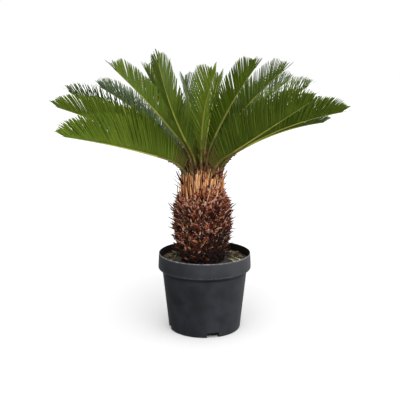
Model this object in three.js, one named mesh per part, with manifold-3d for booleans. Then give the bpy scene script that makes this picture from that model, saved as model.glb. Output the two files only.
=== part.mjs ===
// A potted sago palm, Cycas revoluta: a stout trunk armoured with old leaf bases, a crown
// of stiff feather fronds, and a round nursery pot filled with soil.
//
// Units are millimetres and +Z is up. The pot stands on z = 0, its axis is the Z axis, and
// the front of the plant looks towards -Y. A compass angle is counted from +X towards +Y,
// so 270 degrees points to the front. Pieces that touch in life keep GAP between them.

import * as THREE from 'three';
import { mergeVertices } from 'three/addons/utils/BufferGeometryUtils.js';
import Module from 'manifold-3d';

const wasm = await Module();
wasm.setup();

// ---------------------------------------------------------------- driving dimensions

const GAP = 0.3;

// The pot: a tapered body, a wide collar over it, and drain notches in its foot.
const POT_HEIGHT = 291;
const POT_FOOT_RADIUS = 135.5;
const POT_FOOT_BEVEL = 4;
const POT_NECK_RADIUS = 159;
const POT_NECK_Z = 221;
const COLLAR_RADIUS = 175;
const COLLAR_BOTTOM_Z = 235;
const COLLAR_TOP_RADIUS = 172;
const POT_WALL = 3;
const POT_SIDES = 48;
const NOTCH_COUNT = 4;
const NOTCH_WIDTH = 30;
const NOTCH_HEIGHT = 11;
const NOTCH_DEPTH = 12;
const NOTCH_FIRST_ANGLE = 13;
const POT_FLOOR_Z = NOTCH_HEIGHT + POT_WALL;

// The soil, which the trunk stands on. Its top is uneven, but level where the trunk stands,
// and one ring of its top lies a share of the way from the trunk to the collar.
const SOIL_Z = 261;
const SOIL_UNEVEN = 3;
const SOIL_SIDE_GAP = 0.4;
const SOIL_RING_SHARE = 0.7;
const SOIL_SEED = 11;

// The trunk: radius of its core at a few heights above the soil, from foot to crown. It
// stands a little off the pot's axis and leans a little further that way.
const TRUNK_FOOT_RADIUS = 92;
const TRUNK_BELLY_RADIUS = 98;
const TRUNK_NECK_RADIUS = 76;
const TRUNK_BELLY_RISE = 110;
const TRUNK_SHOULDER_RISE = 205;
const TRUNK_NECK_RISE = 250;
const TRUNK_CROWN_RISE = 318;
const TRUNK_TIP_RISE = 362;
const TRUNK_TIP_RADIUS = 20;
const TRUNK_OFFSET = 8;
const TRUNK_LEAN = 3;

// Old leaf bases, laid in a rhombic lattice round the trunk. Each stands out by a random
// share of its kind's length, and its tip lies a random share of the way up the upper half of
// its rhombus. Above CROWN_SCALE_START, a share of the neck's height, they are crown scales.
const SCALES_ROUND = 20;
const SCALE_ROWS_LOW = 15;
const SCALE_ROWS_HIGH = 3;
const STUB_LENGTH = 15;
const SPINE_LENGTH = 27;
const SPINE_SHARE = 0.12;
const SHEATH_LENGTH = 8;
const CROWN_SCALE_LENGTH = 17;
const CROWN_SCALE_START = 0.5;
const SCALE_REACH_SHARES = [0.55, 1.25];
const SCALE_CLIMB_SHARES = [0.35, 0.85];
const TRUNK_SEED = 5;

// A frond: a rib with a row of leaflets raised like a V on each side. The stalk leaves the
// crown steeply and bends outwards over its first stretch.
const RIB_BASE_WIDTH = 12;
const RIB_BASE_HEIGHT = 10;
const RIB_TIP_WIDTH = 3.4;
const RIB_TIP_HEIGHT = 3;
const STALK_BEND = 36;
const STALK_BEND_REACH = 110;
const STALK_STEEPEST = 82;
const BARE_STALK = 34;
const LEAFLET_PAIRS = 34;
const LEAFLET_RISE = 58;
const LEAFLET_SHOULDER = 0.8;
const LEAFLET_TIP_SHARE = 0.5;

// Leaflet length along the leafy part of the rib: short at its foot, full from its first
// third to its middle, and shorter again towards its tip.
const LEAFLET_LENGTH = 122;
const LEAFLET_FOOT_SHARE = 0.4;
const LEAFLET_GROWTH_START = -0.1;
const LEAFLET_GROWTH_END = 0.32;
const LEAFLET_TAPER_START = 0.5;
const LEAFLET_TAPER = 0.52;
const END_LEAFLET_SHARE = 0.5;

// The angle between a leaflet and its rib, at the rib's foot and at its tip.
const LEAFLET_SWEEP_FOOT = 76;
const LEAFLET_SWEEP_TIP = 40;
const LEAFLET_SWEEP_POWER = 1.5;

// A leaflet that comes too near another frond is tried again at these shares of its length.
const LEAFLET_CLEARANCE = 1;
const LEAFLET_FIT_SHARES = [1, 0.85, 0.7, 0.55, 0.4];

// The crown plan, the fronds that show most first. Each row holds the compass angle that a
// frond grows to, the lift of its blade at the base and at the tip, the rib's length, how
// far its tip sways round the compass, and the radius on the crown where it is set.
const CROWN_PLAN = [
  // round the left side, from the front to the back
  { angle: 218, lift: 21, tipLift: 11, length: 525, sway: 0, seat: 66 },
  { angle: 188, lift: 33, tipLift: 18, length: 525, sway: 0, seat: 66 },
  { angle: 166, lift: 28, tipLift: 30, length: 545, sway: -5, seat: 62 },
  { angle: 149, lift: 42, tipLift: 23, length: 520, sway: 0, seat: 54 },
  { angle: 226, lift: 48, tipLift: 37, length: 515, sway: 0, seat: 46 },
  { angle: 139, lift: 47, tipLift: 45, length: 460, sway: -45, seat: 38 },
  // towards the front
  { angle: 248, lift: 34, tipLift: 46, length: 575, sway: 45, seat: 46 },
  { angle: 268, lift: 47, tipLift: 27, length: 575, sway: 50, seat: 56 },
  { angle: 289, lift: 47, tipLift: 34, length: 550, sway: 20, seat: 46 },
  { angle: 311, lift: 52, tipLift: 33, length: 515, sway: 0, seat: 44 },
  // round the right side, from the front to the back
  { angle: 304, lift: 26, tipLift: 28, length: 575, sway: 15, seat: 64 },
  { angle: 337, lift: 38, tipLift: 12, length: 525, sway: -8, seat: 66 },
  { angle: 39, lift: 43, tipLift: 26, length: 525, sway: 5, seat: 46 },
  { angle: 24, lift: 40, tipLift: 27, length: 510, sway: 8, seat: 54 },
  // round the back, first the upper fronds and then the low ones
  { angle: 81, lift: 43, tipLift: 26, length: 540, sway: 0, seat: 50 },
  { angle: 99, lift: 42, tipLift: 26, length: 530, sway: 0, seat: 52 },
  { angle: 60, lift: 40, tipLift: 20, length: 530, sway: 0, seat: 52 },
  { angle: 120, lift: 41, tipLift: 22, length: 530, sway: 0, seat: 54 },
  { angle: 10, lift: 36, tipLift: 6, length: 455, sway: 0, seat: 68 },
  { angle: 48, lift: 30, tipLift: 8, length: 530, sway: 0, seat: 68 },
  { angle: 76, lift: 29, tipLift: 8, length: 540, sway: 0, seat: 68 },
  { angle: 106, lift: 29, tipLift: 8, length: 540, sway: 0, seat: 68 },
  { angle: 132, lift: 25, tipLift: 5, length: 520, sway: 0, seat: 68 },
];

// ---------------------------------------------------------------- helpers

const UP = new THREE.Vector3(0, 0, 1);
const WELD_TOLERANCE = 1e-4;
const PARALLEL_TOLERANCE = 1e-9;
const radians = (degrees) => THREE.MathUtils.degToRad(degrees);
const mix = (a, b, t) => a + (b - a) * t;

// A repeatable sequence of numbers from 0 to 1.
function seededRandom(seed) {
  let state = seed;
  return () => {
    state = (state * 1664525 + 1013904223) % 4294967296;
    return state / 4294967296;
  };
}

function finish(colour, roughness) {
  return new THREE.MeshStandardMaterial({ color: colour, roughness, metalness: 0 });
}

function meshOf(name, geometry, material) {
  const mesh = new THREE.Mesh(geometry, material);
  mesh.name = name;
  return mesh;
}

// A closed surface given as points and triangles, gathered while it is built.
class Shell {
  constructor() {
    this.points = [];
    this.faces = [];
  }

  point(vector) {
    this.points.push(vector);
    return this.points.length - 1;
  }

  triangle(a, b, c) {
    this.faces.push(a, b, c);
  }

  quad(a, b, c, d) {
    this.triangle(a, b, c);
    this.triangle(a, c, d);
  }

  geometry() {
    const geometry = new THREE.BufferGeometry().setFromPoints(this.points);
    geometry.setIndex(this.faces);
    geometry.computeVertexNormals();
    return geometry;
  }
}

// A profile of [radius, height] points that starts and ends on the axis, turned round +Z.
function turned(profile, sides) {
  const points = profile.map(([radius, height]) => new THREE.Vector2(radius, height));
  return new THREE.LatheGeometry(points, sides).rotateX(Math.PI / 2);
}

function solidOf(geometry) {
  const bare = geometry.clone();
  bare.deleteAttribute('normal');
  bare.deleteAttribute('uv');
  const merged = mergeVertices(bare, WELD_TOLERANCE);
  const triVerts = new Uint32Array(merged.index.array);
  const vertProperties = new Float32Array(merged.attributes.position.array);
  return new wasm.Manifold(new wasm.Mesh({ numProp: 3, vertProperties, triVerts }));
}

function geometryOf(solid) {
  const { vertProperties, triVerts } = solid.getMesh();
  const geometry = new THREE.BufferGeometry();
  geometry.setAttribute('position', new THREE.BufferAttribute(vertProperties, 3));
  geometry.setIndex(new THREE.BufferAttribute(triVerts, 1));
  geometry.computeVertexNormals();
  return geometry;
}

// ---------------------------------------------------------------- pot and soil

// Radius of the pot's inner wall at a height.
function innerRadius(z) {
  if (z <= POT_NECK_Z + POT_WALL) {
    const t = z / (POT_NECK_Z + POT_WALL);
    return mix(POT_FOOT_RADIUS, POT_NECK_RADIUS, t) - POT_WALL;
  }
  const t = (z - COLLAR_BOTTOM_Z) / (POT_HEIGHT - COLLAR_BOTTOM_Z);
  return mix(COLLAR_RADIUS, COLLAR_TOP_RADIUS, t) - POT_WALL;
}

const POT_LEDGE_LOW = POT_NECK_Z + POT_WALL;
const POT_LEDGE_HIGH = COLLAR_BOTTOM_Z + POT_WALL;

function potGeometry() {
  let pot = solidOf(turned([
    [0, 0],
    [POT_FOOT_RADIUS - POT_FOOT_BEVEL, 0],
    [POT_FOOT_RADIUS, POT_FOOT_BEVEL],
    [POT_NECK_RADIUS, POT_NECK_Z],
    [COLLAR_RADIUS, COLLAR_BOTTOM_Z],
    [COLLAR_TOP_RADIUS, POT_HEIGHT],
    [innerRadius(POT_HEIGHT), POT_HEIGHT],
    [innerRadius(POT_LEDGE_HIGH), POT_LEDGE_HIGH],
    [innerRadius(POT_LEDGE_LOW), POT_LEDGE_LOW],
    [innerRadius(POT_FLOOR_Z), POT_FLOOR_Z],
    [0, POT_FLOOR_Z],
  ], POT_SIDES));
  for (let i = 0; i < NOTCH_COUNT; i += 1) {
    const notch = new THREE.BoxGeometry(2 * NOTCH_DEPTH, NOTCH_WIDTH, 2 * NOTCH_HEIGHT);
    notch.translate(POT_FOOT_RADIUS, 0, 0);
    notch.rotateZ(radians(NOTCH_FIRST_ANGLE + (360 / NOTCH_COUNT) * i));
    pot = pot.subtract(solidOf(notch));
  }
  return geometryOf(pot);
}

function soilGeometry() {
  const floor = POT_FLOOR_Z + GAP;
  const random = seededRandom(SOIL_SEED);

  // Rings from the floor up the side and in over the top: radius, height, unevenness.
  const rings = [
    [innerRadius(floor) - SOIL_SIDE_GAP, floor, 0],
    [innerRadius(POT_LEDGE_LOW) - SOIL_SIDE_GAP, POT_LEDGE_LOW + GAP, 0],
    [innerRadius(POT_LEDGE_HIGH) - SOIL_SIDE_GAP, POT_LEDGE_HIGH + GAP, 0],
    [innerRadius(SOIL_Z) - SOIL_SIDE_GAP, SOIL_Z, SOIL_UNEVEN],
    [mix(TRUNK_BELLY_RADIUS, COLLAR_RADIUS, SOIL_RING_SHARE), SOIL_Z, SOIL_UNEVEN],
    [TRUNK_BELLY_RADIUS + STUB_LENGTH, SOIL_Z, 0],
  ];
  const shell = new Shell();
  const rows = rings.map(([radius, height, uneven]) => {
    const row = [];
    for (let i = 0; i < POT_SIDES; i += 1) {
      const angle = (i / POT_SIDES) * 2 * Math.PI;
      const lump = uneven > 0 ? mix(-uneven, uneven, random()) : 0;
      row.push(shell.point(new THREE.Vector3(
        radius * Math.cos(angle), radius * Math.sin(angle), height + lump)));
    }
    return row;
  });
  const low = shell.point(new THREE.Vector3(0, 0, floor));
  const high = shell.point(new THREE.Vector3(0, 0, SOIL_Z));
  for (let i = 0; i < POT_SIDES; i += 1) {
    const j = (i + 1) % POT_SIDES;
    shell.triangle(low, rows[0][j], rows[0][i]);
    for (let ring = 1; ring < rows.length; ring += 1) {
      shell.quad(rows[ring - 1][i], rows[ring - 1][j], rows[ring][j], rows[ring][i]);
    }
    shell.triangle(high, rows[rows.length - 1][i], rows[rows.length - 1][j]);
  }
  return shell.geometry();
}

// ---------------------------------------------------------------- trunk

const TRUNK_FOOT_Z = SOIL_Z + GAP;

// The trunk's axis leans a little, so its centre moves towards -X with height.
function trunkCentre(z) {
  const t = (z - TRUNK_FOOT_Z) / TRUNK_CROWN_RISE;
  return new THREE.Vector3(-TRUNK_OFFSET - TRUNK_LEAN * t, 0, z);
}

// Core radius at a rise above the soil: a belly, a shoulder, then the slimmer neck.
function trunkRadius(rise) {
  if (rise < TRUNK_BELLY_RISE) {
    const t = rise / TRUNK_BELLY_RISE;
    return mix(TRUNK_FOOT_RADIUS, TRUNK_BELLY_RADIUS, Math.sin((t * Math.PI) / 2));
  }
  const slimmed = THREE.MathUtils.smoothstep(rise, TRUNK_SHOULDER_RISE, TRUNK_NECK_RISE);
  return mix(TRUNK_BELLY_RADIUS, TRUNK_NECK_RADIUS, slimmed);
}

function trunkPoint(rise, radius, turn) {
  const angle = (turn / SCALES_ROUND) * 2 * Math.PI;
  const centre = trunkCentre(TRUNK_FOOT_Z + rise);
  return new THREE.Vector3(Math.cos(angle), Math.sin(angle), 0).multiplyScalar(radius).add(centre);
}

// Heights of the lattice rows: close rows of stubs below, tall rows of sheaths above.
function scaleRowRises() {
  const rises = [];
  for (let row = 0; row < SCALE_ROWS_LOW; row += 1) {
    rises.push((TRUNK_NECK_RISE * row) / SCALE_ROWS_LOW);
  }
  for (let row = 0; row <= SCALE_ROWS_HIGH; row += 1) {
    rises.push(mix(TRUNK_NECK_RISE, TRUNK_CROWN_RISE, row / SCALE_ROWS_HIGH));
  }
  return rises;
}

// How far a leaf base stands out: sheaths lie close, stubs less so, and some keep a spine.
function scaleReach(rise, random) {
  if (rise >= TRUNK_NECK_RISE) {
    const crownScaleRise = mix(TRUNK_NECK_RISE, TRUNK_CROWN_RISE, CROWN_SCALE_START);
    return rise > crownScaleRise ? CROWN_SCALE_LENGTH : SHEATH_LENGTH;
  }
  return random() < SPINE_SHARE ? SPINE_LENGTH : STUB_LENGTH;
}

// Every second row of the lattice is turned by half a scale.
const shift = (row) => (row % 2) / 2;

function trunkGeometry() {
  const random = seededRandom(TRUNK_SEED);
  const shell = new Shell();
  const rises = scaleRowRises();
  const last = rises.length - 1;
  const rows = rises.map((rise, row) => {
    const ids = [];
    for (let i = 0; i < SCALES_ROUND; i += 1) {
      ids.push(shell.point(trunkPoint(rise, trunkRadius(rise), i + shift(row))));
    }
    return ids;
  });
  const at = (row, i) => rows[row][(i + SCALES_ROUND) % SCALES_ROUND];

  // One old leaf base: a rhombus of the lattice drawn out to a point.
  for (let row = 0; row + 2 <= last; row += 1) {
    for (let i = 0; i < SCALES_ROUND; i += 1) {
      const side = row % 2;
      const bottom = at(row, i);
      const left = at(row + 1, i - 1 + side);
      const right = at(row + 1, i + side);
      const top = at(row + 2, i);
      const climb = (rises[row + 2] - rises[row + 1]) * mix(...SCALE_CLIMB_SHARES, random());
      const rise = rises[row + 1] + climb;
      const reach = scaleReach(rises[row + 1], random) * mix(...SCALE_REACH_SHARES, random());
      const tip = shell.point(trunkPoint(rise, trunkRadius(rise) + reach, i + shift(row)));
      shell.triangle(bottom, right, tip);
      shell.triangle(right, top, tip);
      shell.triangle(top, left, tip);
      shell.triangle(left, bottom, tip);
    }
  }

  // The rims of the lattice, the flat cut at the foot and the blunt cone of the crown.
  const foot = shell.point(trunkCentre(TRUNK_FOOT_Z));
  const peak = shell.point(trunkCentre(TRUNK_FOOT_Z + TRUNK_TIP_RISE));
  const cone = [];
  for (let i = 0; i < SCALES_ROUND; i += 1) {
    cone.push(shell.point(trunkPoint(TRUNK_TIP_RISE, TRUNK_TIP_RADIUS, i + shift(last))));
  }
  for (let i = 0; i < SCALES_ROUND; i += 1) {
    const j = (i + 1) % SCALES_ROUND;
    shell.triangle(at(0, i), at(0, j), at(1, i));
    shell.triangle(at(last, j), at(last, i), at(last - 1, i + shift(last) * 2));
    shell.triangle(foot, at(0, j), at(0, i));
    shell.quad(at(last, i), at(last, j), cone[j], cone[i]);
    shell.triangle(peak, cone[i], cone[j]);
  }
  return shell.geometry();
}

// The flat facet of the crown cone that faces a compass angle, as a plane.
function crownFacet(angle) {
  const step = (2 * Math.PI) / SCALES_ROUND;
  const topShift = shift(SCALE_ROWS_LOW + SCALE_ROWS_HIGH);
  const turn = Math.floor(angle / step - topShift) + topShift;
  const low = trunkPoint(TRUNK_CROWN_RISE, TRUNK_NECK_RADIUS, turn);
  const next = trunkPoint(TRUNK_CROWN_RISE, TRUNK_NECK_RADIUS, turn + 1);
  const high = trunkPoint(TRUNK_TIP_RISE, TRUNK_TIP_RADIUS, turn);
  return new THREE.Plane().setFromCoplanarPoints(low, next, high);
}

// ---------------------------------------------------------------- fronds

// The rib's sections from seat to tip: centre, directions, width and height.
function ribSections(plan) {
  const heading = radians(plan.angle);
  const outward = new THREE.Vector3(Math.cos(heading), Math.sin(heading), 0);
  const sideways = new THREE.Vector3(-Math.sin(heading), Math.cos(heading), 0);
  const facet = crownFacet(heading);
  const seat = trunkCentre(TRUNK_FOOT_Z + TRUNK_CROWN_RISE).addScaledVector(outward, plan.seat);
  seat.addScaledVector(UP, -facet.distanceToPoint(seat) / facet.normal.z);

  // The bare stalk is one step, and each pair of leaflets takes one more.
  const stations = [0];
  for (let i = 0; i <= LEAFLET_PAIRS; i += 1) {
    stations.push(mix(BARE_STALK, plan.length, i / LEAFLET_PAIRS) / plan.length);
  }
  const sections = [];
  const centre = seat.clone();
  stations.forEach((t, i) => {
    const stalkBend = STALK_BEND * Math.max(0, 1 - (t * plan.length) / STALK_BEND_REACH);
    const bladeLift = mix(plan.lift, plan.tipLift, t);
    const lift = radians(Math.min(STALK_STEEPEST, bladeLift + stalkBend));
    const swing = (2 * plan.sway * t) / plan.length;
    const along = outward.clone().multiplyScalar(Math.cos(lift)).addScaledVector(UP, Math.sin(lift));
    along.addScaledVector(sideways, swing).normalize();
    if (i > 0) {
      const before = sections[i - 1];
      const step = (t - stations[i - 1]) * plan.length;
      centre.addScaledVector(before.along.clone().add(along).normalize(), step);
    }
    const right = new THREE.Vector3().crossVectors(along, UP).normalize();
    const above = new THREE.Vector3().crossVectors(right, along);
    const width = mix(RIB_BASE_WIDTH, RIB_TIP_WIDTH, t);
    const height = mix(RIB_BASE_HEIGHT, RIB_TIP_HEIGHT, Math.sqrt(t));
    sections.push({ centre: centre.clone(), along, right, above, width, height, facet });
  });
  return sections;
}

// The four corners of a rib section: low left, high left, high right, low right. The first
// section is slid along the rib to lie just clear of the crown.
function sectionCorners(section, isSeat) {
  const corner = (x, z) => section.centre.clone()
    .addScaledVector(section.right, (x * section.width) / 2)
    .addScaledVector(section.above, (z * section.height) / 2);
  const corners = [corner(-1, -1), corner(-1, 1), corner(1, 1), corner(1, -1)];
  if (isSeat) {
    const slope = section.facet.normal.dot(section.along);
    corners.forEach((point) => {
      point.addScaledVector(section.along, (GAP - section.facet.distanceToPoint(point)) / slope);
    });
  }
  return corners;
}

// Leaflet length along the leafy part of the rib, t from 0 at its foot to 1 at its tip.
function leafletLength(t) {
  const growth = THREE.MathUtils.smoothstep(t, LEAFLET_GROWTH_START, LEAFLET_GROWTH_END);
  const late = Math.max(0, (t - LEAFLET_TAPER_START) / (1 - LEAFLET_TAPER_START));
  return LEAFLET_LENGTH * mix(LEAFLET_FOOT_SHARE, 1, growth) * (1 - LEAFLET_TAPER * late ** 2);
}

// Leaflets stand nearly square to the rib at its foot and sweep forward to its tip.
function leafletSweep(t) {
  return radians(mix(LEAFLET_SWEEP_FOOT, LEAFLET_SWEEP_TIP, t ** LEAFLET_SWEEP_POWER));
}

function leafletAim(section, side, t) {
  const sweep = leafletSweep(t);
  const rise = radians(LEAFLET_RISE);
  return section.along.clone().multiplyScalar(Math.cos(sweep))
    .addScaledVector(section.right, side * Math.sin(sweep) * Math.cos(rise))
    .addScaledVector(section.above, Math.sin(sweep) * Math.sin(rise));
}

// Smallest room between two tapering limbs, as the distance between their centre lines
// less their radii where the lines come nearest.
function roomBetween(p, q) {
  const d1 = p.end.clone().sub(p.start);
  const d2 = q.end.clone().sub(q.start);
  const r = p.start.clone().sub(q.start);
  const a = d1.dot(d1);
  const e = d2.dot(d2);
  const f = d2.dot(r);
  const c = d1.dot(r);
  const b = d1.dot(d2);
  const denominator = a * e - b * b;
  const crossing = denominator > PARALLEL_TOLERANCE ? (b * f - c * e) / denominator : 0;
  let s = THREE.MathUtils.clamp(crossing, 0, 1);
  const t = THREE.MathUtils.clamp((b * s + f) / e, 0, 1);
  s = THREE.MathUtils.clamp((b * t - c) / a, 0, 1);
  const near = r.addScaledVector(d1, s).addScaledVector(d2, -t).length();
  return near - mix(p.radius, p.endRadius, s) - mix(q.radius, q.endRadius, t);
}

const ribs = CROWN_PLAN.map(ribSections);
const limbs = [];
ribs.forEach((sections, frond) => {
  for (let i = 1; i < sections.length; i += 1) {
    const before = sections[i - 1];
    const after = sections[i];
    limbs.push({
      frond,
      start: before.centre,
      end: after.centre,
      radius: Math.hypot(before.width, before.height) / 2,
      endRadius: Math.hypot(after.width, after.height) / 2,
    });
  }
});

// The longest leaflet that stays clear of every other frond, or null where none has room.
function fittedLeaflet(frond, root, aim, radius, fullLength) {
  for (const share of LEAFLET_FIT_SHARES) {
    const length = fullLength * share;
    const end = root.clone().addScaledVector(aim, length);
    const leaflet = { frond, start: root, end, radius, endRadius: radius * LEAFLET_TIP_SHARE };
    const blocked = limbs.some((limb) => limb.frond !== frond
      && roomBetween(leaflet, limb) < LEAFLET_CLEARANCE);
    if (!blocked) {
      limbs.push(leaflet);
      return length;
    }
  }
  return null;
}

function frondGeometry(frond) {
  const sections = ribs[frond];
  const shell = new Shell();
  const rings = sections.map((section, i) => sectionCorners(section, i === 0)
    .map((corner) => shell.point(corner)));

  // A wall of the rib, with corners a and b behind and c and d ahead. It is drawn out to a
  // leaflet with a slanting tip edge where there is room for one.
  const wall = (a, b, c, d, side, step) => {
    const before = sections[step - 1];
    const after = sections[step];
    const pitch = after.centre.clone().sub(before.centre);
    const root = new THREE.Vector3();
    [a, b, c, d].forEach((id) => root.addScaledVector(shell.points[id], 0.25));
    const t = (step - 2) / (LEAFLET_PAIRS - 1);
    const aim = leafletAim(before, side, Math.max(0, t));
    const radius = Math.hypot(pitch.length(), before.height) / 2;
    const length = step > 1
      ? fittedLeaflet(frond, root, aim, radius, leafletLength(t))
      : null;
    if (length === null) {
      shell.quad(a, b, c, d);
      return;
    }
    const rear = shell.point(root.clone().addScaledVector(aim, length * LEAFLET_SHOULDER)
      .addScaledVector(pitch, -LEAFLET_TIP_SHARE / 2));
    const front = shell.point(root.clone().addScaledVector(aim, length)
      .addScaledVector(pitch, LEAFLET_TIP_SHARE / 4));
    shell.triangle(a, b, rear);
    shell.quad(b, c, front, rear);
    shell.triangle(c, d, front);
    shell.quad(d, a, rear, front);
  };

  for (let step = 1; step < rings.length; step += 1) {
    const [p0, p1, p2, p3] = rings[step - 1];
    const [q0, q1, q2, q3] = rings[step];
    shell.quad(p1, p2, q2, q1);
    shell.quad(p3, p0, q0, q3);
    wall(p0, p1, q1, q0, -1, step);
    wall(p2, p3, q3, q2, 1, step);
  }
  const [s0, s1, s2, s3] = rings[0];
  shell.quad(s0, s3, s2, s1);

  // The rib ends in one short leaflet that points straight on.
  const last = sections[sections.length - 1];
  const [e0, e1, e2, e3] = rings[rings.length - 1];
  const tip = shell.point(last.centre.clone()
    .addScaledVector(last.along, leafletLength(1) * END_LEAFLET_SHARE));
  shell.triangle(e0, e1, tip);
  shell.triangle(e1, e2, tip);
  shell.triangle(e2, e3, tip);
  shell.triangle(e3, e0, tip);
  return shell.geometry();
}

// ---------------------------------------------------------------- the plant in its pot

const blackPlastic = finish(0x2b2e32, 0.55);
const potSoil = finish(0x463a2b, 0.95);
const oldLeafBases = finish(0x5a3626, 0.9);
const frondGreens = [finish(0x4a6d1d, 0.45), finish(0x3d5e1c, 0.45), finish(0x56791f, 0.45)];

const sagoPalm = new THREE.Group();
sagoPalm.add(meshOf('pot', potGeometry(), blackPlastic));
sagoPalm.add(meshOf('soil', soilGeometry(), potSoil));
sagoPalm.add(meshOf('trunk', trunkGeometry(), oldLeafBases));

const crown = new THREE.Group();
CROWN_PLAN.forEach((plan, frond) => {
  const name = `frond_${String(frond + 1).padStart(2, '0')}`;
  crown.add(meshOf(name, frondGeometry(frond), frondGreens[frond % frondGreens.length]));
});
sagoPalm.add(crown);

export default sagoPalm;
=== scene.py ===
# %% [markdown]
# # A sago palm in its nursery pot
# A sago palm is a cycad: a stout trunk in an armour of old leaf bases, with a crown of stiff
# feather fronds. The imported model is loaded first, as a frame that never moves.

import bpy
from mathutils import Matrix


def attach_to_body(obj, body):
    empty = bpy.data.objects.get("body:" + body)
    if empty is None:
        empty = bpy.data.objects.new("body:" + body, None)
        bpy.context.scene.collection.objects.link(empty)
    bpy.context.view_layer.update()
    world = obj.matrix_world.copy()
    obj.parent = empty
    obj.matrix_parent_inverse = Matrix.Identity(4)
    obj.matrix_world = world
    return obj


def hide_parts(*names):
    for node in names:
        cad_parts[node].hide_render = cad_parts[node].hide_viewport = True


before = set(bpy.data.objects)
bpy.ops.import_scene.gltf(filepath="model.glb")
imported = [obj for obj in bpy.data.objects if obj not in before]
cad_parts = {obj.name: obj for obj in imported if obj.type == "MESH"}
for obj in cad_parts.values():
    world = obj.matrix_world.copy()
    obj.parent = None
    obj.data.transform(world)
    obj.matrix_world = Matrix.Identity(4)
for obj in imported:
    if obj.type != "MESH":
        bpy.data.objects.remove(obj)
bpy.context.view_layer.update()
print("frame nodes:", len(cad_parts))

# %% [markdown]
# ## Helpers for numbers
# The plant is worked out in millimetres, as a gardener would measure it, and turned into
# metres only where a mesh is made.

# %% Numbers and directions
import math
from collections import namedtuple

import bmesh
import bpy
import numpy as np

MM = 0.001
UP = np.array([0.0, 0.0, 1.0])


def mix(a, b, t):
    return a + (b - a) * t


def smoothstep(t, start, end):
    t = np.clip((t - start) / (end - start), 0, 1)
    return t * t * (3 - 2 * t)


def unit(vectors):
    return vectors / np.linalg.norm(vectors, axis=-1, keepdims=True)


def compass(degrees):
    """The level direction at a compass angle, counted from +X towards +Y."""
    angle = np.radians(degrees)
    return np.stack([np.cos(angle), np.sin(angle), np.zeros_like(angle)], axis=-1)


# %% [markdown]
# ## Helpers for nodes
# Materials and Geometry Nodes are both graphs. One small function adds a node to either. An
# input is a plain value, another node's output, or a node whose first output is meant.

# %% One function that adds a node
def feed(tree, node, inputs):
    sockets = {socket.identifier: socket for socket in node.inputs}
    for key, value in inputs.items():
        socket = sockets.get(key) or node.inputs[key]
        if isinstance(value, bpy.types.Node):
            value = value.outputs[0]
        if isinstance(value, bpy.types.NodeSocket):
            tree.links.new(value, socket)
        else:
            socket.default_value = value
    return node


def add(tree, kind, inputs=None, **settings):
    node = tree.nodes.new(kind)
    for name, value in settings.items():
        setattr(node, name, value)
    return feed(tree, node, inputs or {})


# %% Two that calculate
def maths(tree, operation, first, second=0.0):
    return add(tree, "ShaderNodeMath", {0: first, 1: second}, operation=operation)


def ranged(tree, value, start, end, low, high, way="LINEAR"):
    """The value's way from start to end, as a number from low to high."""
    return add(tree, "ShaderNodeMapRange", {
        "Value": value, "From Min": start, "From Max": end, "To Min": low, "To Max": high},
        interpolation_type=way)


# %% A colour for a shader
def linear(colour):
    """An sRGB hex colour as the linear colour that a shader works in."""
    shares = [int(colour[i:i + 2], 16) / 255 for i in (1, 3, 5)]
    return [c / 12.92 if c <= 0.04045 else ((c + 0.055) / 1.055) ** 2.4 for c in shares] + [1.0]


# %% [markdown]
# ## Materials
# Most surfaces of a plant are one colour that wanders a little, with a fine relief. A noise in
# object space does it for any shape, at a real size: `patch` is how wide the colour patches
# are and `grain` how wide the relief's, in millimetres. `stretch` draws it out along an axis.

# %% A mottled natural surface
RAMP_START, RAMP_END = 0.36, 0.64
GLOSS_SPREAD = 0.07
BUMP_STRENGTH = 0.8


def noise(tree, place, size, detail, roughness=0.5):
    """A noise whose patches are as wide as the size, in millimetres."""
    return add(tree, "ShaderNodeTexNoise", {
        "Vector": place, "Scale": 1 / (size * MM), "Detail": detail, "Roughness": roughness})


def mottled(name, colours, roughness, patch, grain, relief, stretch=(1, 1, 1), ior=1.45,
            gloss_share=0.5):
    material = bpy.data.materials.new(name)
    material.use_nodes = True
    tree = material.node_tree
    place = add(tree, "ShaderNodeTexCoord").outputs["Object"]
    stretched = add(tree, "ShaderNodeMapping", {"Vector": place, "Scale": stretch})
    patches = noise(tree, stretched, patch, 3.0)
    ramp = add(tree, "ShaderNodeValToRGB", {"Fac": patches})
    elements = ramp.color_ramp.elements
    while len(elements) < len(colours):
        elements.new(0.5)
    for i, colour in enumerate(colours):
        elements[i].position = mix(RAMP_START, RAMP_END, i / (len(colours) - 1))
        elements[i].color = linear(colour)
    gloss = ranged(tree, patches, 0, 1, roughness - GLOSS_SPREAD, roughness + GLOSS_SPREAD)
    bump = add(tree, "ShaderNodeBump", {
        "Height": noise(tree, stretched, grain, 4.0), "Distance": relief * MM,
        "Strength": BUMP_STRENGTH})
    feed(tree, tree.nodes["Principled BSDF"], {
        "IOR": ior, "Specular IOR Level": gloss_share, "Base Color": ramp,
        "Roughness": gloss, "Normal": bump})
    return material
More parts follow.
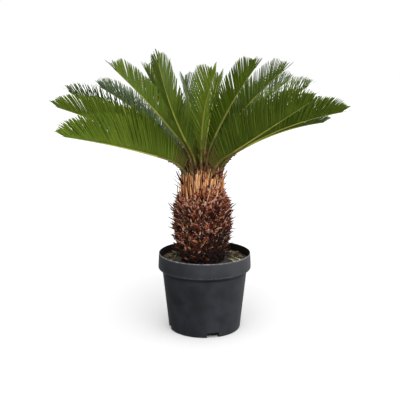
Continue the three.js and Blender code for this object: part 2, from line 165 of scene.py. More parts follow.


# %% [markdown]
# ## The leaflets' finish
# A sago leaflet has a thick waxy cuticle, so it is half glossy and lets almost no light
# through. Each frond belongs to one of five families. Older fronds are deeper, and the deep
# family is also painted shade on shaded fronds. The grey family is a painted sky reflection on
# glossy fronds at the back, and the fresh family is painted light on a frond turned from the
# light. Each leaflet takes one of three close greens of its family. Those at a frond's foot
# have browned. The wax is rough at a finer scale than a bump can show, so less of the light
# comes back as gloss.

# %% Waxy leaf cuticle in five families of green, with painted light and shade in three
# fresh: painted light; grey: painted sky reflection; deep: partly painted shade.
LEAF_FAMILIES = {
    "fresh": [("#86a02e", "#92ac35"), ("#7b942b", "#87a131"), ("#93ab39", "#9eb743"),
              ("#666427", "#737130")],
    "bright": [("#5d731c", "#697f21"), ("#596f1a", "#657b1f"), ("#647a21", "#708628"),
               ("#5b5a22", "#696829")],
    "mid": [("#54681a", "#5f741e"), ("#4f631a", "#5a6e1d"), ("#5a6f20", "#667b25"),
            ("#676128", "#756f31")],
    "deep": [("#435420", "#4d5f20"), ("#3a4a1a", "#445520"), ("#4e6022", "#586b28"),
             ("#565025", "#645d2b")],
    "grey": [("#5a6b49", "#647552"), ("#50603f", "#5a6b48"), ("#657852", "#6f825c"),
             ("#555436", "#636244")],
}
FOOT_TONE = 3
leaf_finish = {
    family: [
        mottled(f"waxy_leaf_{family}_{i + 1}", colours, 0.45, patch=70, grain=3, relief=0.15,
                gloss_share=0.2)
        for i, colours in enumerate(tones)
    ]
    for family, tones in LEAF_FAMILIES.items()
}
print("leaf finishes:", sum(len(tones) for tones in leaf_finish.values()))

# %% [markdown]
# ## The other plant finishes
# The rib is smooth and yellow-green, and turns ochre at its stalk. Old leaf bases are dry and
# fibrous, tan where they are young and nearly black where they are old. The fibres of the
# sheaths run up the trunk, so their noise is drawn out along Z.

# %% Ribs and old leaf bases
rib_finish = [
    mottled(f"smooth_rib_{place}", colours, roughness, patch, 2, relief)
    for place, colours, roughness, patch, relief in (
        ("foot", ("#715e38", "#8e7b4f"), 0.6, 20, 0.3),
        ("stalk", ("#857a38", "#9a9044"), 0.5, 30, 0.2),
        ("middle", ("#acaf46", "#bfc055"), 0.45, 40, 0.1),
        ("tip", ("#8e9c3c", "#9fab48"), 0.45, 40, 0.1))
]
FIBRE = (1, 1, 0.12)
sheath_finish = [
    mottled(f"dry_sheath_{tone}", colours, roughness, 7, 2, 0.8, FIBRE)
    for tone, colours, roughness in (
        ("tan", ("#de9556", "#f8c289"), 0.75), ("peach", ("#f2b07a", "#ffd8ad"), 0.75),
        ("orange", ("#b96e33", "#e4984e"), 0.75), ("brown", ("#6b4025", "#9a633c"), 0.8),
        ("dark", ("#33190f", "#54301e"), 0.85))
]
stub_finish = [
    mottled(name, colours, roughness, 9, 2, relief, gloss_share=gloss_share)
    for name, colours, roughness, relief, gloss_share in (
        ("old_stub_black_and_gap_shade", ("#220d07", "#3a1a11"), 0.8, 0.8, 0.25),
        ("old_stub_purple", ("#471f17", "#643329"), 0.8, 0.8, 0.25),
        ("old_stub_brown", ("#5a2e1d", "#824c35"), 0.8, 0.8, 0.25),
        ("old_stub_red", ("#8d3e2a", "#b76048"), 0.78, 0.8, 0.25),
        ("old_stub_tan", ("#ad7650", "#d4996c"), 0.78, 0.8, 0.25),
        ("old_stub_pale", ("#cc9d86", "#eac2ab"), 0.78, 0.8, 0.25),
        ("old_spine_grey", ("#3a3d36", "#575b4e"), 0.6, 0.5, 0.5),
        ("cut_stalk_olive", ("#6d5d2e", "#93804a"), 0.65, 0.5, 0.5),
        ("rotted_stub", ("#171311", "#2d2623"), 0.85, 0.8, 0.25))
]
BLACK, PURPLE, BROWN, RED, TAN, PALE, GREY, OLIVE, ROTTED = range(9)
torn_end_finish = mottled("torn_fibre_end", ("#9c6a55", "#cf9883"), 0.8, 9, 2, 0.8,
                          gloss_share=0.25)

# %% [markdown]
# ## The soil's finishes
# Potting mix is dark, damp and crumbly, with pale straw and bark in it.

# %% Potting mix and litter
soil_finish = mottled("damp_potting_mix", ("#241e17", "#4a4133"), 0.92, 11, 3, 2.5)
litter_finish = [
    mottled(name, colours, roughness, 6, 2, relief)
    for name, colours, roughness, relief in (
        ("soil_crumb_dark", ("#2a251e", "#443d32"), 0.92, 0.8),
        ("soil_crumb_brown", ("#544937", "#746750"), 0.9, 0.8),
        ("bark_chip", ("#6e5a3c", "#9c8259"), 0.85, 0.8),
        ("dry_straw", ("#b3a26d", "#dccf9c"), 0.7, 0.4),
        ("fading_leaflet", ("#b4b97e", "#d6d8ab"), 0.6, 0.4))
]
DARK, EARTHY, BARK, STRAWY, LEAFY = range(5)

# %% [markdown]
# ## The pot's finish
# The pot is moulded from recycled black polypropylene: charcoal and half matt, with the fine
# Its rim's lip and the collar's lower edge are painted pale: partly scuffs from handling,
# partly a painted highlight where these proud edges catch the light. The pale paint is mixed in
# by height, and a noise breaks it up.

# %% Moulded polypropylene with worn and painted-highlit edges
WEAR_AND_HIGHLIGHT_SIZE = 9
WEAR_AND_HIGHLIGHT_BREAK = (0.35, 0.65)


def worn_and_highlit_plastic(name, base, pale_wear_and_highlight, bands):
    """A band is its height, how far it reaches up and down, and how strong its pale wear and
    painted highlight are.
    """
    material = mottled(name, base, 0.46, patch=55, grain=0.9, relief=0.12, ior=1.49)
    tree = material.node_tree
    colour = tree.nodes["Principled BSDF"].inputs["Base Color"]
    plain = colour.links[0].from_socket
    place = add(tree, "ShaderNodeTexCoord").outputs["Object"]
    level = add(tree, "ShaderNodeSeparateXYZ", {"Vector": place}).outputs["Z"]
    broken = ranged(tree, noise(tree, place, WEAR_AND_HIGHLIGHT_SIZE, 5.0, 0.7), *WEAR_AND_HIGHLIGHT_BREAK, 0, 1)
    total = 0.0
    for centre, reach, share in bands:
        away = maths(tree, "ABSOLUTE", maths(tree, "SUBTRACT", level, centre * MM))
        band = ranged(tree, away, 0, reach * MM, share, 0, "SMOOTHSTEP")
        total = maths(tree, "ADD", band, total)
    mixed = add(tree, "ShaderNodeMix", {
        "Factor_Float": maths(tree, "MULTIPLY", total, broken), "A_Color": plain,
        "B_Color": linear(pale_wear_and_highlight)}, data_type="RGBA")
    tree.links.new(mixed.outputs[2], colour)
    return material


# %% [markdown]
# ## Camera
# The camera stands at the height of the crown's top and looks slightly down, through a long
# lens, so the pot's rim is seen as a narrow ellipse.

# %% Camera
scene = bpy.context.scene
IMAGE_SIDE = 400
CAMERA_FOCAL_PIXELS = 712
CAMERA_PITCH_DOWN = 11.1
CAMERA_PLACE = (-0.0173, -2.6, 1.0)
SENSOR = 36


def shown(name, data):
    """A thing that stands in the scene."""
    thing = bpy.data.objects.new(name, data)
    scene.collection.objects.link(thing)
    return thing


camera = shown("camera", bpy.data.cameras.new("camera"))
camera.data.sensor_width = SENSOR
camera.data.lens = SENSOR * CAMERA_FOCAL_PIXELS / IMAGE_SIDE
camera.location = CAMERA_PLACE
camera.rotation_euler = (math.radians(90 - CAMERA_PITCH_DOWN), 0, 0)
scene.camera = camera
print("lens:", round(camera.data.lens, 2), "mm")

# %% [markdown]
# ## Light
# A plant is lit from above: even a soft light leaves the undersides of its fronds dark. So the
# dome dims below the eyes' height. It is brightest a little above it, as a studio is whose
# lamps stand round the plant, and weaker overhead. Near the horizon it is stronger at the
# right, where a large soft box stands: this models the pot's side and hardly touches the
# floor. A very wide lamp, high at the front, lights the crown. Dome and lamp together leave a
# soft shadow round the pot. The camera itself sees plain white behind the plant.

# %% The dome
scene.view_settings.view_transform = "Standard"
DOME_BELOW, DOME_ABOVE = 0.2, 1.35
DOME_TURNS = (-0.6, 0.32)
DOME_TOP_SHARE = 0.75
DOME_TOP_TURNS = (0.3, 0.8)
DOME_STRONG_SIDE = -25
DOME_SIDE_SHARE = 0.68
DOME_SIDE_HEIGHT = 0.8

world = bpy.data.worlds.new("white_dome")
world.use_nodes = True
dome = world.node_tree
direction = add(dome, "ShaderNodeTexCoord").outputs["Generated"]
height = add(dome, "ShaderNodeSeparateXYZ", {"Vector": direction}).outputs["Z"]
lower = ranged(dome, height, *DOME_TURNS, DOME_BELOW, DOME_ABOVE, "SMOOTHSTEP")
upper = ranged(dome, height, *DOME_TOP_TURNS, 1, DOME_TOP_SHARE, "SMOOTHSTEP")
towards = add(dome, "ShaderNodeVectorMath", {
    0: direction, 1: compass(DOME_STRONG_SIDE) * DOME_SIDE_SHARE}, operation="DOT_PRODUCT")
low = ranged(dome, height, 0, DOME_SIDE_HEIGHT, 1, 0)
side = maths(dome, "MULTIPLY", towards.outputs["Value"], low)
light = maths(dome, "MULTIPLY", maths(dome, "MULTIPLY", lower, upper),
              maths(dome, "ADD", side, 1))
seen = add(dome, "ShaderNodeLightPath").outputs["Is Camera Ray"]
feed(dome, dome.nodes["Background"], {
    "Strength": maths(dome, "MAXIMUM", light, seen), "Color": (1, 1, 1, 1)})
scene.world = world

# %% The wide lamp
LAMP_ENERGY = 1.2
LAMP_ELEVATION = 62
LAMP_AZIMUTH = -85
LAMP_WIDTH = 50
wide_lamp = shown("wide_lamp", bpy.data.lights.new("wide_lamp", "SUN"))
wide_lamp.data.energy = LAMP_ENERGY
wide_lamp.data.angle = math.radians(LAMP_WIDTH)
wide_lamp.rotation_euler = (
    0, math.radians(90 - LAMP_ELEVATION), math.radians(LAMP_AZIMUTH))

# %% [markdown]
# ## Floor
# A plain pale floor that the light only just turns white, so that even the weak shadow round
# the pot shows on it. It throws no light back up, as dull ground would not.

# %% Floor
FLOOR_SIDE = 60
half = FLOOR_SIDE / 2
floor_mesh = bpy.data.meshes.new("studio_floor")
floor_mesh.from_pydata([(-half, -half, 0), (half, -half, 0), (half, half, 0), (-half, half, 0)],
                       [], [(0, 1, 2, 3)])
floor_mesh.materials.append(
    mottled("pale_studio_paper", ("#eeeeee", "#f0f0f0"), 0.9, patch=900, grain=5, relief=0.02))
studio_floor = shown("studio_floor", floor_mesh)
studio_floor.visible_diffuse = False
studio_floor.visible_glossy = False

# %% [markdown]
# ## Shapes that are repeated
# Leaflets, stubs, spines and straw are slim bodies, each lofted along its own Y axis through a
# few sections. One is made one unit long, and sized where it is placed. `reach` runs from 0 at
# its root to 1 at its tip, and bends it later.

# %% Attributes of a mesh's points
def attach(mesh, attributes):
    for key, values in attributes.items():
        values = np.asarray(values)
        if values.ndim == 2:
            kind, field, number = "FLOAT_VECTOR", "vector", np.float32
        elif values.dtype.kind == "i":
            kind, field, number = "INT", "value", np.int32
        else:
            kind, field, number = "FLOAT", "value", np.float32
        attribute = mesh.attributes.new(key, kind, "POINT")
        attribute.data.foreach_set(field, values.astype(number).ravel())


# %% A skin round rings of points
def neighbours(sides, ring):
    """The number of each point of a ring, with that of the next one."""
    return [(ring * sides + i, ring * sides + (i + 1) % sides) for i in range(sides)]


def skin(sides, rings):
    return [(a, b, b + sides, a + sides)
            for ring in range(rings - 1) for a, b in neighbours(sides, ring)]


def body(name, vertices, faces):
    """A smooth mesh whose faces all look outwards."""
    mesh = bpy.data.meshes.new(name)
    mesh.from_pydata(vertices, [], faces, shade_flat=False)
    shape = bmesh.new()
    shape.from_mesh(mesh)
    bmesh.ops.recalc_face_normals(shape, faces=shape.faces)
    shape.to_mesh(mesh)
    shape.free()
    return mesh


# %% A lofted slim body
def loft(name, section, stations, pointed=True):
    """A closed body along +Y. A station is its reach, width, thickness and lift."""
    vertices = [(x * width, reach, z * thickness + lift)
                for reach, width, thickness, lift in stations for x, z in section]
    sides, last = len(section), len(stations) - 1
    faces = [tuple(range(sides)), *skin(sides, len(stations))]
    if pointed:
        vertices.append((0, 1, stations[last][3]))
        faces += [(a, b, len(vertices) - 1) for a, b in neighbours(sides, last)]
    else:
        faces.append(tuple(a for a, _ in neighbours(sides, last)))
    mesh = body(name, vertices, faces)
    attach(mesh, {"reach": [reach for _, reach, _ in vertices]})
    return bpy.data.objects.new(name, mesh)


def shelf(name, shapes):
    """A collection of shapes to copy from. It is outside the scene, so it isn't shown."""
    collection = bpy.data.collections.new(name)
    for shape in shapes:
        collection.objects.link(shape)
    return collection


# %% [markdown]
# ## Copying shapes onto places
# The places are loose vertices, and each carries what grows there: which way it aims and
# faces, its size, its bow, its shape and its tone. Thousands of objects would be slow, and a
# particle system would not export. Geometry Nodes copy the shapes, bow them and paint them.

# %% What every tree needs
def new_tree(name, inputs, output):
    """A tree with its sockets, and what its input node gives."""
    tree = bpy.data.node_groups.new(name, "GeometryNodeTree")
    for key, kind in inputs.items():
        tree.interface.new_socket(key, in_out="INPUT", socket_type=f"NodeSocket{kind}")
    tree.interface.new_socket(output, in_out="OUTPUT", socket_type="NodeSocketGeometry")
    return tree, add(tree, "NodeGroupInput").outputs


def carried(tree, key, kind):
    return add(tree, "GeometryNodeInputNamedAttribute", {"Name": key},
               data_type=kind).outputs["Attribute"]


def compared(tree, kind, first, operation, second):
    start = 2 if kind == "INT" else 0
    return add(tree, "FunctionNodeCompare", {start: first, start + 1: second},
               data_type=kind, operation=operation)


def painted(tree, shape, chosen, finish):
    return add(tree, "GeometryNodeSetMaterial", {
        "Geometry": shape, "Selection": chosen, "Material": finish})


# %% A tree that copies shapes onto places
CARRIED = ("aim", "face", "size", "bow", "variant", "tone")


def copying_tree(name, shapes, tones, worn_end=None):
    """The last input is a finish for the ends, the shape that has them, and where they start."""
    tree, inside = new_tree(name, {"Places": "Geometry", "Bow share": "Float"}, "Copies")
    aim, face, size, bow = (carried(tree, key, "FLOAT_VECTOR") for key in CARRIED[:4])
    variant, tone = (carried(tree, key, "INT") for key in CARRIED[4:])
    shape = add(tree, "GeometryNodeCollectionInfo", {
        "Collection": shapes, "Separate Children": True, "Reset Children": True})
    turn = add(tree, "FunctionNodeAxesToRotation", {
        "Primary Axis": aim, "Secondary Axis": face}, primary_axis="Y", secondary_axis="Z")
    copies = add(tree, "GeometryNodeInstanceOnPoints", {
        "Points": inside["Places"], "Instance": shape, "Pick Instance": True,
        "Instance Index": variant, "Rotation": turn, "Scale": size})
    real = add(tree, "GeometryNodeRealizeInstances", {"Geometry": copies})

    # A bow is 0 at the root and at the tip, and whole in the middle: 4 r (1 - r).
    reach = carried(tree, "reach", "FLOAT")
    hump = maths(tree, "MULTIPLY", reach, maths(tree, "SUBTRACT", 1.0, reach))
    share = maths(tree, "MULTIPLY", hump, inside["Bow share"])
    offset = add(tree, "ShaderNodeVectorMath", {"Vector": bow, "Scale": share},
                 operation="SCALE")
    made = add(tree, "GeometryNodeSetPosition", {"Geometry": real, "Offset": offset})
    for i, finish in enumerate(tones):
        made = painted(tree, made, compared(tree, "INT", tone, "EQUAL", i), finish)
    if worn_end:
        finish, worn_shape, start = worn_end
        both = add(tree, "FunctionNodeBooleanMath", {
            0: compared(tree, "FLOAT", reach, "GREATER_THAN", start),
            1: compared(tree, "INT", variant, "EQUAL", worn_shape)}, operation="AND")
        made = painted(tree, made, both, finish)
    add(tree, "NodeGroupOutput", {"Copies": made})
    return tree


# %% Running a tree and keeping a plain mesh
BOW_SHARE = 4.0


def plain_mesh(piece):
    """The mesh that a piece's modifiers make of it takes the place of its own."""
    depsgraph = bpy.context.evaluated_depsgraph_get()
    mesh = bpy.data.meshes.new_from_object(piece.evaluated_get(depsgraph), depsgraph=depsgraph)
    piece.modifiers.clear()
    piece.data = mesh
    print(piece.name, "triangles:", sum(len(p.vertices) - 2 for p in mesh.polygons))
    return mesh


def grown(name, mesh, tree, values):
    """The piece that a tree makes of a mesh."""
    piece = shown(name, mesh)
    modifier = piece.modifiers.new(tree.name, "NODES")
    modifier.node_group = tree
    for item in tree.interface.items_tree:
        if item.in_out == "INPUT" and item.name in values:
            modifier[item.identifier] = values[item.name]
    mesh = plain_mesh(piece)
    mesh.name = name
    for key in (*CARRIED, "reach"):
        if key in mesh.attributes:
            mesh.attributes.remove(mesh.attributes[key])
    return piece


def copied(name, points, attributes, shapes, tones, worn_end=None):
    """One piece of many copies."""
    mesh = bpy.data.meshes.new(name)
    mesh.from_pydata(np.asarray(points) * MM, [], [])
    attach(mesh, attributes)
    tree = copying_tree(name.replace("_", " "), shapes, tones, worn_end)
    return grown(name, mesh, tree, {"Bow share": BOW_SHARE})


# %% [markdown]
# ## Where the trunk and its crown stand
# These are the sizes of the model's own trunk, and of the blunt cone that carries the fronds.
# Everything that grows on the trunk is placed by them.

# %% The trunk's sizes
SOIL_Z = 261
TRUNK_FOOT_Z = 261.3
TRUNK_FOOT_RADIUS = 92
TRUNK_BELLY_RADIUS = 98
TRUNK_NECK_RADIUS = 76
TRUNK_BELLY_RISE = 110
TRUNK_SHOULDER_RISE = 205
TRUNK_NECK_RISE = 250
TRUNK_CROWN_RISE = 318
TRUNK_TIP_RISE = 362
TRUNK_TIP_RADIUS = 20
TRUNK_OFFSET = 8
TRUNK_LEAN = 3


def trunk_centre(rise):
    lean = -TRUNK_OFFSET - TRUNK_LEAN * np.asarray(rise, float) / TRUNK_CROWN_RISE
    return np.stack([lean, np.zeros_like(lean), TRUNK_FOOT_Z + rise], axis=-1)


def trunk_radius(rise):
    """A belly, a shoulder and a slimmer neck, and above them the crown's cone."""
    rise = np.asarray(rise, float)
    low = mix(TRUNK_FOOT_RADIUS, TRUNK_BELLY_RADIUS,
              np.sin(np.clip(rise / TRUNK_BELLY_RISE, 0, 1) * math.pi / 2))
    neck = smoothstep(rise, TRUNK_SHOULDER_RISE, TRUNK_NECK_RISE)
    cone = np.clip((rise - TRUNK_CROWN_RISE) / (TRUNK_TIP_RISE - TRUNK_CROWN_RISE), 0, 1)
    return mix(mix(low, TRUNK_NECK_RADIUS, neck), TRUNK_TIP_RADIUS, cone)


# %% [markdown]
# ## The crown plan
# Each frond has the compass angle that it grows to, the lift of its blade at the base and at
# the tip, its rib's length, how far its tip sways round, the radius on the crown where it is
# set, and its family of green. The plan is the model's own, so the fronds lie where it has
# them. Three things are added. A few blades are rolled a little about their own rib, as they
# are where fronds crowd each other. Some are closed, with leaflets that overlap, while the
# thinner ones let light through. And leaflets differ in length: the upper fronds, which are
# the youngest, have shorter ones, and two low fronds at the front have longer ones.

# %% The crown plan
Frond = namedtuple("Frond", "angle lift tip_lift length sway seat family roll closed longest")
CROWN_PLAN = [Frond(*row) for row in (
    # round the left side, from the front to the back
    (218, 21, 11, 525, 0, 66, "bright", 14, 1.4, 138),
    (188, 33, 18, 525, 0, 66, "bright", 6, 1.3, 122),
    (166, 28, 30, 545, -5, 62, "deep", 0, 0.8, 120),
    (149, 42, 23, 520, 0, 54, "grey", 0, 1.05, 84),
    (226, 48, 37, 515, 0, 46, "bright", 24, 1.25, 86),
    (139, 47, 45, 460, -45, 38, "mid", 0, 1.15, 92),
    # towards the front
    (248, 34, 46, 575, 45, 46, "bright", 14, 1.3, 106),
    (268, 47, 27, 575, 50, 56, "fresh", 8, 1.2, 106),
    (289, 47, 34, 550, 20, 46, "bright", 0, 1.25, 94),
    (311, 52, 33, 515, 0, 44, "mid", -14, 0.86, 88),
    # round the right side, from the front to the back
    (304, 26, 28, 575, 15, 64, "mid", 0, 1.25, 130),
    (337, 38, 12, 525, -8, 66, "mid", 0, 1.2, 122),
    (39, 43, 26, 525, 5, 46, "grey", 0, 0.85, 104),
    (24, 40, 27, 510, 8, 54, "mid", 0, 0.85, 104),
    # round the back, first the upper fronds and then the low ones
    (81, 43, 26, 540, 0, 50, "mid", 0, 1.1, 108),
    (99, 42, 26, 530, 0, 52, "grey", 0, 1.1, 108),
    (60, 40, 20, 530, 0, 52, "deep", 0, 1.1, 112),
    (120, 41, 22, 530, 0, 54, "deep", 0, 1.1, 112),
    (10, 36, 6, 455, 0, 68, "deep", 0, 1.1, 122),
    (48, 30, 8, 530, 0, 68, "deep", 0, 1.15, 122),
    (76, 29, 8, 540, 0, 68, "mid", 0, 1.15, 122),
    (106, 29, 8, 540, 0, 68, "deep", 0, 1.15, 122),
    (132, 25, 5, 520, 0, 68, "deep", 0, 1.15, 122))]

# %% [markdown]
# ## The line of a rib
# A frond's stalk leaves the crown steeply and bends outwards over its first stretch, and its
# blade then follows a long even curve. The line is walked in short steps, each in the mean
# direction of its two ends. The stalk is swollen where it sits on the trunk.

# %% Walking along a rib
STALK_BEND = 36
STALK_BEND_REACH = 110
STALK_STEEPEST = 82
BARE_STALK = 34
STALK_STEPS = 4
LEAFLET_PAIRS = 78
RIB_BASE_WIDTH = 9
RIB_TIP_WIDTH = 2.6
STALK_FOOT_SHARE = 1.1
STALK_FOOT_REACH = 16


def rib_of(plan):
    """Centres, directions and widths along a rib, from its seat to its tip."""
    outward, sideways = compass(plan.angle), compass(plan.angle + 90)
    stalk = np.linspace(0, BARE_STALK, STALK_STEPS, endpoint=False)
    blade = np.linspace(BARE_STALK, plan.length, LEAFLET_PAIRS + 1)
    distance = np.concatenate([stalk, blade])
    t = (distance / plan.length)[:, None]
    bend = STALK_BEND * np.maximum(0, 1 - distance / STALK_BEND_REACH)[:, None]
    rise = np.radians(np.minimum(STALK_STEEPEST, mix(plan.lift, plan.tip_lift, t) + bend))
    swing = sideways * (2 * plan.sway * t / plan.length)
    along = unit(outward * np.cos(rise) + UP * np.sin(rise) + swing)
    walk = unit(along[:-1] + along[1:]) * np.diff(distance)[:, None]
    down = (plan.seat - TRUNK_TIP_RADIUS) / (TRUNK_NECK_RADIUS - TRUNK_TIP_RADIUS)
    start = trunk_centre(TRUNK_CROWN_RISE) + outward * plan.seat
    start[2] = TRUNK_FOOT_Z + mix(TRUNK_TIP_RISE, TRUNK_CROWN_RISE, down)
    centres = start + np.concatenate([np.zeros((1, 3)), np.cumsum(walk, axis=0)])
    level = unit(np.cross(along, UP))
    roll = math.radians(plan.roll)
    right = level * math.cos(roll) - np.cross(level, along) * math.sin(roll)
    foot = 1 + STALK_FOOT_SHARE * np.exp(-distance / STALK_FOOT_REACH)
    width = mix(RIB_BASE_WIDTH, RIB_TIP_WIDTH, t[:, 0]) * foot
    return {"centre": centres, "along": along, "right": right, "above": np.cross(right, along),
            "width": width, "t": t[:, 0]}


ribs = [rib_of(plan) for plan in CROWN_PLAN]
print("ribs:", len(ribs), "highest tip:", round(max(r["centre"][-1][2] for r in ribs)), "mm")

# %% [markdown]
# ## The ribs as meshes
# A rib is a tapering rod along that line, a little flatter than wide. Four finishes follow
# each other from the stalk to the tip.

# %% A tree that sweeps rods along lines
def sweeping_tree(name, tones, limits):
    """Each finish starts at its own share of the way along a line."""
    tree, inside = new_tree(
        name, {"Lines": "Geometry", "Sides": "Int", "Flatness": "Float"}, "Rods")
    line = add(tree, "GeometryNodeMeshToCurve", {"Mesh": inside["Lines"]})
    level = add(tree, "GeometryNodeSetCurveNormal", {"Curve": line}, mode="Z_UP")
    circle = add(tree, "GeometryNodeCurvePrimitiveCircle", {
        "Resolution": inside["Sides"], "Radius": 1.0})
    flat = add(tree, "ShaderNodeCombineXYZ", {"X": inside["Flatness"], "Y": 1.0, "Z": 1.0})
    section = add(tree, "GeometryNodeTransform", {"Geometry": circle, "Scale": flat})
    rods = add(tree, "GeometryNodeCurveToMesh", {
        "Curve": level, "Profile Curve": section, "Scale": carried(tree, "radius_m", "FLOAT"),
        "Fill Caps": True})
    made = add(tree, "GeometryNodeSetShadeSmooth", {"Geometry": rods})
    share = carried(tree, "share", "FLOAT")
    for start, finish in zip(limits, tones):
        made = painted(tree, made, compared(tree, "FLOAT", share, "GREATER_EQUAL", start), finish)
    add(tree, "NodeGroupOutput", {"Rods": made})
    return tree


# %% Sweeping the ribs
RIB_SINK = 6
RIB_SIDES = 10
RIB_FLATNESS = 0.86
RIB_TONE_STARTS = (-1.0, 0.08, 0.3, 0.75)
for rib in ribs:
    rib["line"] = rib["centre"].copy()
    rib["line"][0] -= rib["along"][0] * RIB_SINK
points, widths, shares = (
    np.concatenate([rib[key] for rib in ribs]) for key in ("line", "width", "t"))
points_each = len(ribs[0]["t"])
edges = [(i, i + 1) for i in range(len(points) - 1) if (i + 1) % points_each]
rib_mesh = bpy.data.meshes.new("rib_lines")
rib_mesh.from_pydata(points * MM, edges, [])
attach(rib_mesh, {"radius_m": widths / 2 * MM, "share": shares})
frond_ribs = grown("frond_ribs", rib_mesh,
                   sweeping_tree("ribs along lines", rib_finish, RIB_TONE_STARTS),
                   {"Sides": RIB_SIDES, "Flatness": RIB_FLATNESS})

# %% [markdown]
# ## Leaflets, by rule
# Leaflets stand nearly square to the rib at its foot and sweep forward towards its tip, raised
# like a V. They are short at the foot, full from the first third to the middle, and shorter
# again at the tip, where one last leaflet goes straight on. It is longest where the tip points
# up. They are about as wide as they are spaced, so the blade looks closed, and crowd towards
# the tip. Both rows clump alike, most on the open blades, and that leaves slits. A leaflet that
# comes too near another frond is tried again a little shorter, and left out where nothing
# fits, so none cuts through its neighbours.

# %% How long a leaflet is and where it aims
MODEL_PAIRS = 34
LEAFLET_LENGTH = 122
LEAFLET_FOOT_SHARE = 0.3
LEAFLET_GROWTH = (-0.04, 0.34)
LEAFLET_TAPER_START = 0.5
LEAFLET_TAPER = 0.52
LEAFLET_ROUNDING = 0.3
LEAFLET_ROUNDED_FROM = 0.87
LEAFLET_SWEEP_FOOT = 72
LEAFLET_SWEEP_TIP = 36
LEAFLET_SWEEP_POWER = 0.8
LEAFLET_SWEEP_LATE = 12
LEAFLET_SWEEP_LATE_FROM = 0.75
LEAFLET_RISE = 66
END_LEAFLETS = (36, 57)
END_LEAFLET_LIFTS = (15, 40)


def leaflet_length(t, longest):
    grown_share = mix(LEAFLET_FOOT_SHARE, 1, smoothstep(t, *LEAFLET_GROWTH))
    late = max(0, (t - LEAFLET_TAPER_START) / (1 - LEAFLET_TAPER_START))
    tapered = max(longest, LEAFLET_LENGTH) * grown_share * (1 - LEAFLET_TAPER * late ** 2)
    rounded_off = LEAFLET_ROUNDING * smoothstep(t, LEAFLET_ROUNDED_FROM, 1)
    return min(tapered, longest) * (1 - rounded_off)


def leaflet_sweep(t):
    late = LEAFLET_SWEEP_LATE * smoothstep(t, LEAFLET_SWEEP_LATE_FROM, 1)
    return mix(LEAFLET_SWEEP_FOOT, LEAFLET_SWEEP_TIP, t ** LEAFLET_SWEEP_POWER) - late


def leaflet_aim(rib, i, side, sweep, rise):
    """Where a leaflet aims, and which way it is wide."""
    sweep, rise = math.radians(sweep), math.radians(rise)
    aim = (rib["along"][i] * math.cos(sweep)
           + rib["right"][i] * side * math.sin(sweep) * math.cos(rise)
           + rib["above"][i] * math.sin(sweep) * math.sin(rise))
    return aim, unit(rib["along"][i] - aim * (rib["along"][i] @ aim))


# %% How wide a leaflet is
LEAFLET_THICKNESS = 1.0
LEAFLET_FOOT_WIDTH = 0.85
LEAFLET_FULL_WIDTH_FROM = 0.3
LEAFLET_CROWDING = 1.25
LEAFLET_CROWDED_FROM = 0.7


def leaflet_width(t, pitch, sweep, closed):
    early = mix(LEAFLET_FOOT_WIDTH, 1, min(1, t / LEAFLET_FULL_WIDTH_FROM))
    width = pitch * math.sin(math.radians(sweep)) * closed * early
    return width * mix(1, LEAFLET_CROWDING, smoothstep(t, LEAFLET_CROWDED_FROM, 1))


# %% Room between tapering limbs
START, END, RADIUS, END_RADIUS, FROND = slice(0, 3), slice(3, 6), 6, 7, 8


def room_between(limb, others):
    """Distance between one limb's centre line and many others', less their radii there."""
    d1, d2 = limb[END] - limb[START], others[:, END] - others[:, START]
    r = limb[START] - others[:, START]
    a, e = d1 @ d1, (d2 * d2).sum(1)
    f, c, b = (d2 * r).sum(1), r @ d1, d2 @ d1
    parallel = a * e - b * b
    s = np.clip(np.where(parallel > 1e-9, (b * f - c * e) / np.maximum(parallel, 1e-9), 0), 0, 1)
    t = np.clip((b * s + f) / e, 0, 1)
    s = np.clip((b * t - c) / a, 0, 1)
    near = np.linalg.norm(r + d1 * s[:, None] - d2 * t[:, None], axis=1)
    own, other = limb[[RADIUS, END_RADIUS]], others[:, [RADIUS, END_RADIUS]].T
    return near - mix(*own, s) - mix(*other, t)


# %% The ribs stand first
rng = np.random.default_rng(7)
limbs = np.zeros((len(ribs) * (len(ribs[0]["t"]) + 2 * LEAFLET_PAIRS), FROND + 1))
count = 0
for frond, rib in enumerate(ribs):
    half = rib["width"] / 2
    for i in range(len(half) - 1):
        limbs[count] = (*rib["centre"][i], *rib["centre"][i + 1], half[i], half[i + 1], frond)
        count += 1

